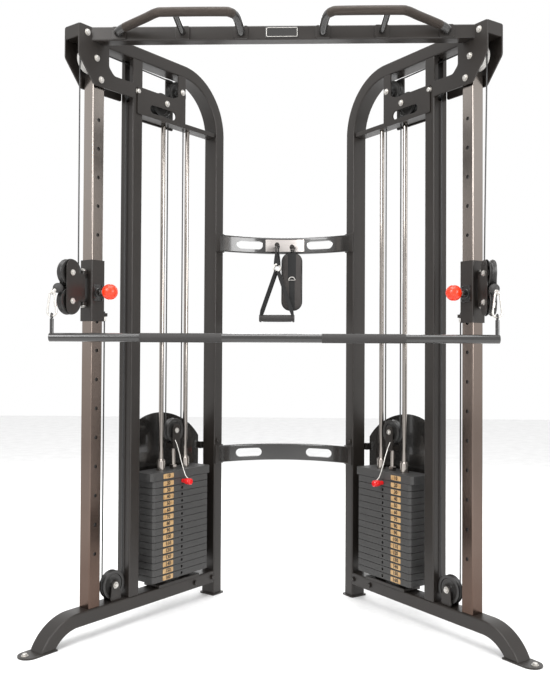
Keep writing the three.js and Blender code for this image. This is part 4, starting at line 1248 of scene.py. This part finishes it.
# ---- the middle -----------------------------------------------------------------------------------
class TRAINER_OT_top_beam(bpy.types.Operator):
    """Top beam, mitred against the towers, with its plain badge plate"""
    bl_idname = "trainer.top_beam"
    bl_label = "Top beam"

    def execute(self, context):
        section = rounded(-60, -12, TOP_LOW, TOP_HIGH, 1000 * sizes().tube_edge)
        near, far = unshifted("right", -400, -TUBE_H - 6.3), unshifted("right", 400, -TUBE_H - 6.3)
        edge = [near.x + (far.x - near.x) * (y - near.y) / (far.y - near.y) for y, _ in section]
        rings = [[(k * x, y, z) for x, (y, z) in zip(edge, section)] for k in (-1, -0.5, -0.09, 0.09, 0.5, 1)]
        show("beam_tube", Shell().rings(rings), MACHINE, "frame coat", "frame", "top_beam")
        badge = Shell().box(-56, 56, -62.4, -59, TOP_LOW + 5, TOP_HIGH - 5, 4, 1)
        show("badge_plate", badge, MACHINE, "gloss black", "frame")
        border = rounded(-52, 52, TOP_LOW + 9, TOP_HIGH - 9, 3)
        line = Shell().sweep([(x, -62.5, z) for x, z in border], circle((0, 0), 0.7, 8), whole=True)
        show("badge_border", line, MACHINE, "zinc", "frame")
        return {"FINISHED"}


class TRAINER_OT_pull_up_bars(bpy.types.Operator):
    """Pull-up bars with knurled grips, struts and mounting pads"""
    bl_idname = "trainer.pull_up_bars"
    bl_label = "Pull-up bars"

    def execute(self, context):
        face, z, r = -60.3, TOP_LOW + 43, 14.5
        spine = ((-557, -5, -20), (-555, -16, -19), (-530, -34, -12), (-450, -88, -3), (-408, -120, 0),
                 (-372, -127, 0), (-200, -127, 0), (-166, -119, 0), (-148, -90, -3), (-140, -40, -15),
                 (-139, -14, -20), (-139, -3, -20))
        for side, k in (("left", 1), ("right", -1)):
            points = [(k * x, face + y, z + dz) for x, y, dz in spine]
            bar = Shell().wire(spline(points, 6), r, (0, 0, 1), 28)
            bar.rod((-k * 346, face - 120, z - 2), (-k * 338, face - 3, z - 20), 11)
            pads = Shell()
            for x in (139, 338, 556):
                pads.box(-k * x - 24, -k * x + 24, face - 6, face, TOP_LOW + 2, TOP_HIGH - 2, 6, 1.2)
            show(f"{side}_pull_up_pads", pads, MACHINE, "frame coat", "frame")
            show(f"{side}_pull_up_tube", bar, MACHINE, "bar black", "frame", f"{side}_pull_up_bar")
            held = spline(points, 6)[12:45]
            sleeve = Shell().sweep(held, circle((0, 0), 14.9, 28), (0, 0, 1))
            show(f"{side}_knurled_grips", sleeve, MACHINE, "grip bronze", "frame", level=False)
        return {"FINISHED"}


def cross_face():
    return unshifted("right", REAR_X + 16, -TUBE_H - 3).y + CROSS_BOW - CROSS_THICK


class TRAINER_OT_crossmembers(bpy.types.Operator):
    """Bowed crossmembers with racetrack slots, flanges and accessory pegs"""
    bl_idname = "trainer.crossmembers"
    bl_label = "Crossmembers"

    def execute(self, context):
        back = unshifted("right", REAR_X + 16, -TUBE_H - 3)
        front = unshifted("right", REAR_X - 12, -TUBE_H - 3)
        crown = back.y + CROSS_BOW
        for name, z0 in CROSS_Z.items():
            rings, middle = [], z0 + CROSS_H / 2
            for i in range(-16, 17):
                t, k = 1 - abs(i) / 16, math.copysign(1, i)
                b = Vector(quadratic((back.x, back.y), (back.x / 2, crown), (0, crown), t))
                f = Vector(quadratic((front.x, front.y), (front.x / 2, crown - CROSS_THICK),
                                     (0, crown - CROSS_THICK), t))
                deep, way = (b - f).length / 2, (b - f).normalized()
                ring = []
                for a, h in rounded(-deep, deep, z0, z0 + CROSS_H, 6, 5):
                    at = (b + f) / 2 + way * a
                    ring.append((k * at.x, at.y, h))
                rings.append(ring)
            slots = Shell()
            for k in (-1, 1):
                slots.plate([racetrack(k * 144 - 52, k * 144 + 52, middle, 17)], 300, 800, 0.01)
            body = carved(Shell().rings(rings).mesh(MACHINE, 40), slots, MACHINE)
            put(f"{name}_cross_body", body, "gloss black", "frame", f"{name}_crossmember")
            for side in SIDES:
                flange = Shell().box(REAR_X - 24, REAR_X + 24, -TUBE_H - 6, -TUBE_H - GAP, z0 - 4,
                                     z0 + CROSS_H + 4, 4, 1)
                show(f"{side}_{name}_flange", flange, tower(side), "frame coat", "frame")
            # The upper crossmember alone gets a pale bare-steel strip across the middle of its front: a
            # painted highlight standing for the bright reflection there.
            if name == "upper":
                bow = [(80.0 * i / 8, quadratic((front.x, front.y), (front.x / 2, crown - CROSS_THICK),
                                                (0, crown - CROSS_THICK), 1 - 80.0 * i / 8 / front.x)[1])
                       for i in range(9)]
                line = [(-x, y) for x, y in reversed(bow[1:])] + bow
                plate = Shell().rings([[(x, y + a, z) for a, z in rounded(-0.6, 0.3, z0 + 9, z0 + 59, 0.2, 2)]
                                       for x, y in line])
                show("upper_cross_face", plate, MACHINE, "bright steel", "frame")
        pegs, face = Shell(), cross_face()
        for x, reach in ((-30, face - 92), (30, face - 28)):
            pegs.rod((x, face + 4, PEG_Z), (x, reach, PEG_Z), 5)
            pegs.lathe([(0, 0), (7, 0), (8, 1), (8, 3.6), (6.5, 5), (0, 5)], (x, reach + 1, PEG_Z),
                       (0, -1, 0))
        show("accessory_pegs", pegs, MACHINE, "frame coat", "frame")
        return {"FINISHED"}


def hook_point(side):
    at = hook(side) @ Vector((0, 0, -HOOK_DROP))
    return MACHINE.inverted() @ at


def rib_tree(name):
    """Raised ribs in an even row round a bar."""
    g = Growth(name, Count=int, First=Vector, Last=Vector, Radius=float, Rib=float)
    line = g.node("GeometryNodeMeshLine", {"mode": "END_POINTS"}, {
        "Count": g["Count"], "Start Location": g["First"], "Offset": g["Last"]})
    ring = g.node("GeometryNodeCurvePrimitiveCircle", (), {"Resolution": 20, "Radius": g["Radius"]})
    wire = g.node("GeometryNodeCurvePrimitiveCircle", (), {"Resolution": 6, "Radius": g["Rib"]})
    rib = g.node("GeometryNodeCurveToMesh", (), {"Curve": ring, "Profile Curve": wire})
    way = g.node("ShaderNodeVectorMath", {"operation": "SUBTRACT"}, {0: g["Last"], 1: g["First"]})
    spin = g.node("FunctionNodeAlignRotationToVector", {"axis": "Z"}, {"Vector": way})
    return g.finished(g.node("GeometryNodeInstanceOnPoints", (), {
        "Points": line, "Instance": rib, "Rotation": spin}))


def ribs(name, first, last, radius, rib, look, body):
    count = int((Vector(last) - Vector(first)).length / sizes().rib_pitch)
    grown = Growth.grown(tree_of("row of ribs", rib_tree), bpy.data.meshes.new("none"), look, Count=count,
                         First=first, Last=last, Radius=radius / 1000, Rib=rib / 1000)
    grown.shade_smooth()
    return put(name, grown, look, body, level=False)


class TRAINER_OT_long_bar(bpy.types.Operator):
    """Long bar with ribbed grips, end caps and hanging eyes"""
    bl_idname = "trainer.long_bar"
    bl_label = "Long bar"

    def execute(self, context):
        left, right = hook_point("left"), hook_point("right")
        way = (right - left)
        way.z = 0
        way.normalize()
        z = RING[1] - BAR_DROP

        def at(origin, along, height=z):
            return (origin.x + way.x * along, origin.y + way.y * along, height)

        bar = Shell().sweep(straight(at(left, -5), at(right, 5), 12), circle((0, 0), 14.5, 32), (0, 0, 1))
        for end, k in ((left, 1), (right, -1)):
            bar.rod(at(end, 0), at(end, 0, left.z - 8.5), 6.5, 24)
            bar.loop((end.x, end.y, left.z), 9.2, 2.6, (1, 0, 0))
            bar.lathe([(0, 0), (12.5, 0), (14.4, 1.4), (14.4, 5), (0, 5)], at(end, -8 * k), way * k)
        show("bar_tube", bar, MACHINE, "bar black", "bar", "long_bar")
        for side, end, k in (("left", left, 1), ("right", right, -1)):
            line = straight(at(end, k * 292), at(end, k * 562), 8)
            grip = Shell().sweep(line, circle((0, 0), 15.2, 32), (0, 0, 1))
            show(f"{side}_bar_grip", grip, MACHINE, "grip foam", "bar")
            ribs(f"{side}_bar_grip_ribs", metres(MACHINE, *at(end, k * 297)),
                 metres(MACHINE, *at(end, k * 557)), 15.1, 0.6, "grip foam", "bar")
        return {"FINISHED"}


def ribbon(shell, path, width=25.0, thick=2.4, twist=None):
    """Webbing laid along a path in the x-z plane, its width across y where it isn't twisted."""
    section = rounded(-thick / 2, thick / 2, -width / 2, width / 2, 0.9, 3)
    return shell.sweep(path, section, twist=twist)


def peg_loop(x, y, low, gape=2.6):
    """Up one side of a peg, over it and down again."""
    high = PEG_Z - 1.5
    over = [(x + px, y, high + pz) for px, pz in reversed(arc((0, 0), 8.6, -10, 190, 16))]
    rise = [Vector((x - gape, y, low)), *straight((x - gape, y, low + 14), (x - 5, y, high - 15), 6)]
    fall = [Vector((2 * x - p.x, y, p.z)) for p in reversed(rise)]
    return [*rise, *over, *fall]


def loop_twist(path, most):
    """The turn at each point of a peg loop, so that its legs lie one on the other and face ahead."""
    legs = [most, *(most * (1 - i / 6) for i in range(7))]
    return [*legs, *([0] * (len(path) - 16)), *(-a for a in reversed(legs))]


class TRAINER_OT_handles(bpy.types.Operator):
    """Stirrup handles on their webbing straps"""
    bl_idname = "trainer.handles"
    bl_label = "Stirrup handles"

    def execute(self, context):
        face, x = cross_face(), -30.0
        grip, half = PEG_Z - 300, 72.0
        for name, y in (("front", face - 76), ("rear", face - 43)):
            body = f"{name}_handle_body"
            loop = peg_loop(x, y, PEG_Z - 84)
            straps = ribbon(Shell(), loop, twist=loop_twist(loop, 58))
            for k in (-1, 1):
                band = [(x + k * 3, y, PEG_Z - 104), (x + k * 9, y, PEG_Z - 122),
                        (x + k * (half - 12), y, grip + 30), (x + k * (half - 6), y, grip + 6)]
                ribbon(straps, band, 22, twist=[42, 42, 42, 20])
            show(f"{name}_handle_straps", straps, MACHINE, "webbing", body, f"{name}_handle")
            metal_ring = Shell().loop((x, y, PEG_Z - 93), 13.5, 3.8, (0, 1, 0))
            show(f"{name}_handle_ring", metal_ring, MACHINE, "zinc", body)
            bar = Shell().lathe([(0, 0), (13, 0), (15, 2), (15, 7), (12, 9), (12, 12), (13.4, 14), (13.9, 40),
                                 (14.2, 72), (13.9, 104), (13.4, 130), (12, 132), (12, 135), (15, 137),
                                 (15, 142), (13, 144), (0, 144)], (x - half, y, grip), (1, 0, 0))
            show(f"{name}_handle_grip", bar, MACHINE, "grip foam", body)
            ribs(f"{name}_handle_ribs", metres(MACHINE, x - 54, y, grip), metres(MACHINE, x + 54, y, grip),
                 13.8, 0.7, "grip foam", body)
        return {"FINISHED"}


def plump(mesh, reach):
    """A pad's mesh swollen by a short cloth simulation, no point moving further than reach."""
    obj = bpy.data.objects.new("pad", mesh)
    grid = obj.modifiers.new("grid", "REMESH")
    grid.mode, grid.voxel_size = "VOXEL", 0.004
    obj = bpy.data.objects.new("pad", evaluated(obj))
    bpy.context.scene.collection.objects.link(obj)
    start = [v.co.copy() for v in obj.data.vertices]
    cloth = obj.modifiers.new("cloth", "CLOTH")
    cloth.settings.use_pressure, cloth.settings.uniform_pressure_force = True, 4.0
    cloth.settings.effector_weights.gravity = 0.0
    for number in range(1, 21):
        bpy.context.scene.frame_set(number)
    swollen = evaluated(obj)
    for v, at in zip(swollen.vertices, start):
        step = v.co - at
        v.co = at + step * min(1.0, reach / max(step.length, 1e-9))
    bpy.context.scene.frame_set(1)
    return swollen


class TRAINER_OT_ankle_cuff(bpy.types.Operator):
    """Padded ankle cuff with its binding, webbing and ring"""
    bl_idname = "trainer.ankle_cuff"
    bl_label = "Ankle cuff"

    def execute(self, context):
        x, y, body = 30.0, cross_face() - 15, "ankle_cuff_body"
        top, bottom = PEG_Z - 24, PEG_Z - 268
        outline = rounded(x - 44.5, x + 44.5, bottom + 0.5, top - 0.5, 38, 8)
        pad = Shell().plate([outline], y - 5, y + 5, 2.5).mesh(MACHINE)
        pad = plump(pad, 0.004)
        pad.shade_smooth()
        cuff = put("cuff_pad", pad, "cuff nylon", body, "ankle_cuff", level=False)
        edge = rounded(x - 42, x + 42, bottom + 3, top - 3, 36, 8)
        binding = Shell().sweep([(px, y, z) for px, z in edge], rounded(-1.6, 1.6, -5, 5, 1.5, 3), whole=True)
        show("cuff_binding", binding, MACHINE, "webbing", body)
        face, ring = y - 9.4, top - 112
        hanger = peg_loop(x, y, top - 4, 1.4)[1:-1]
        straps = ribbon(Shell(), [(x - 10, y, top - 8), *hanger, (x + 10, y, top - 8)], 20)
        straps.box(x - 17, x + 17, face, face + 2.4, ring, top - 4, 2, 0.8)
        straps.box(x - 12, x + 12, face - 0.4, face + 2, bottom + 6, ring - 6, 2, 0.8)
        show("cuff_straps", straps, MACHINE, "webbing", body)
        bow = [(px, face - 1.6, z) for px, z in arc((x, ring - 4), 13, 0, 180, 20)]
        metal_ring = Shell().sweep(bow, circle((0, 0), 2, 12), whole=True)
        show("cuff_ring", metal_ring, MACHINE, "zinc", body)
        return {"FINISHED"}


# ---- the stage ------------------------------------------------------------------------------------
LAMPS = (("key", (-2.6, -3.2, 3.2), 2.2, 130), ("fill", (3.0, -2.6, 1.8), 1.8, 80),
         ("top", (0.0, -0.6, 4.2), 2.6, 90), ("rim", (0.0, 3.0, 2.6), 2.4, 60))
CAMERA_AT, CAMERA_TURNS = (0.073, -2.9847, 0.985), (0.0332, 0.0177, 0.0054)
SENSOR, FOCAL_TO_HEIGHT = 36.0, 811.4 / 673


class TRAINER_OT_stage(bpy.types.Operator):
    """Pale floor, soft lights and the camera"""
    bl_idname = "trainer.stage"
    bl_label = "Stage"

    def execute(self, context):
        scene = context.scene
        scene.view_settings.view_transform = "Standard"
        floor = Shell().plate([rounded(-9000, 9000, -9000, 9000, 10)], -20, -0.2, 0.1, flat=True)
        put("floor", floor.mesh(Matrix.Identity(4)), "floor", level=False)
        world = bpy.data.worlds.new("studio")
        world.use_nodes = True
        sky = world.node_tree.nodes["Background"]
        sky.inputs[0].default_value, sky.inputs[1].default_value = (1, 1, 1, 1), 1.0
        scene.world = world
        for name, at, size, power in LAMPS:
            lamp = bpy.data.lights.new(name, "AREA")
            lamp.energy, lamp.size = power, size
            obj = bpy.data.objects.new(name, lamp)
            scene.collection.objects.link(obj)
            obj.location = at
            obj.rotation_mode = "QUATERNION"
            obj.rotation_quaternion = (Vector((0, 0, 1.0)) - Vector(at)).to_track_quat("-Z", "Y")
        yaw, pitch, roll = CAMERA_TURNS
        ahead = Vector((-math.sin(yaw), math.cos(yaw), 0))
        right = Vector((math.cos(yaw), math.sin(yaw), 0))
        look = ahead * math.cos(pitch) + Vector((0, 0, math.sin(pitch)))
        up = Vector((0, 0, math.cos(pitch))) - ahead * math.sin(pitch)
        across = right * math.cos(roll) + up * math.sin(roll)
        over = up * math.cos(roll) - right * math.sin(roll)
        lens = bpy.data.cameras.new("camera")
        lens.sensor_width, lens.lens = SENSOR, SENSOR * FOCAL_TO_HEIGHT
        camera = bpy.data.objects.new("camera", lens)
        scene.collection.objects.link(camera)
        axes = Matrix((across, over, -look)).transposed().to_4x4()
        camera.matrix_world = Matrix.Translation(CAMERA_AT) @ axes
        scene.camera = camera
        return {"FINISHED"}


PIECES = (TRAINER_OT_base_rails, TRAINER_OT_rear_uprights, TRAINER_OT_mid_uprights, TRAINER_OT_front_uprights,
          TRAINER_OT_top_gussets, TRAINER_OT_guide_rods, TRAINER_OT_shrouds, TRAINER_OT_frame_bolts,
          TRAINER_OT_weight_plates, TRAINER_OT_number_labels, TRAINER_OT_head_plates,
          TRAINER_OT_pulleys, TRAINER_OT_carriages, TRAINER_OT_brackets, TRAINER_OT_cable_ends,
          TRAINER_OT_top_beam, TRAINER_OT_pull_up_bars, TRAINER_OT_crossmembers, TRAINER_OT_long_bar,
          TRAINER_OT_handles, TRAINER_OT_ankle_cuff)
ORDER = (TRAINER_OT_stage, TRAINER_OT_selector_pins, TRAINER_OT_cables, *PIECES)


class TRAINER_PT_pieces(bpy.types.Panel):
    """The trainer's pieces and the values behind them"""
    bl_idname = "TRAINER_PT_pieces"
    bl_label = "Functional trainer"
    bl_space_type = "VIEW_3D"
    bl_region_type = "UI"
    bl_category = "Trainer"

    def draw(self, context):
        for values in (context.scene.trainer_colours, context.scene.trainer_sizes):
            box = self.layout.box()
            for key in values.bl_rna.properties.keys():
                if key not in ("rna_type", "name"):
                    box.prop(values, key)
        for piece in ORDER:
            self.layout.operator(piece.bl_idname)


CLASSES = (TrainerColours, TrainerSizes, *ORDER, TRAINER_PT_pieces)


def register():
    for kind in CLASSES:
        bpy.utils.register_class(kind)
    bpy.types.Scene.trainer_colours = bpy.props.PointerProperty(type=TrainerColours)
    bpy.types.Scene.trainer_sizes = bpy.props.PointerProperty(type=TrainerSizes)


def unregister():
    del bpy.types.Scene.trainer_sizes, bpy.types.Scene.trainer_colours
    for kind in reversed(CLASSES):
        bpy.utils.unregister_class(kind)


def main():
    register()
    for piece in ORDER:
        group, name = piece.bl_idname.split(".")
        getattr(getattr(bpy.ops, group), name)()


if __name__ == "__main__":
    main()
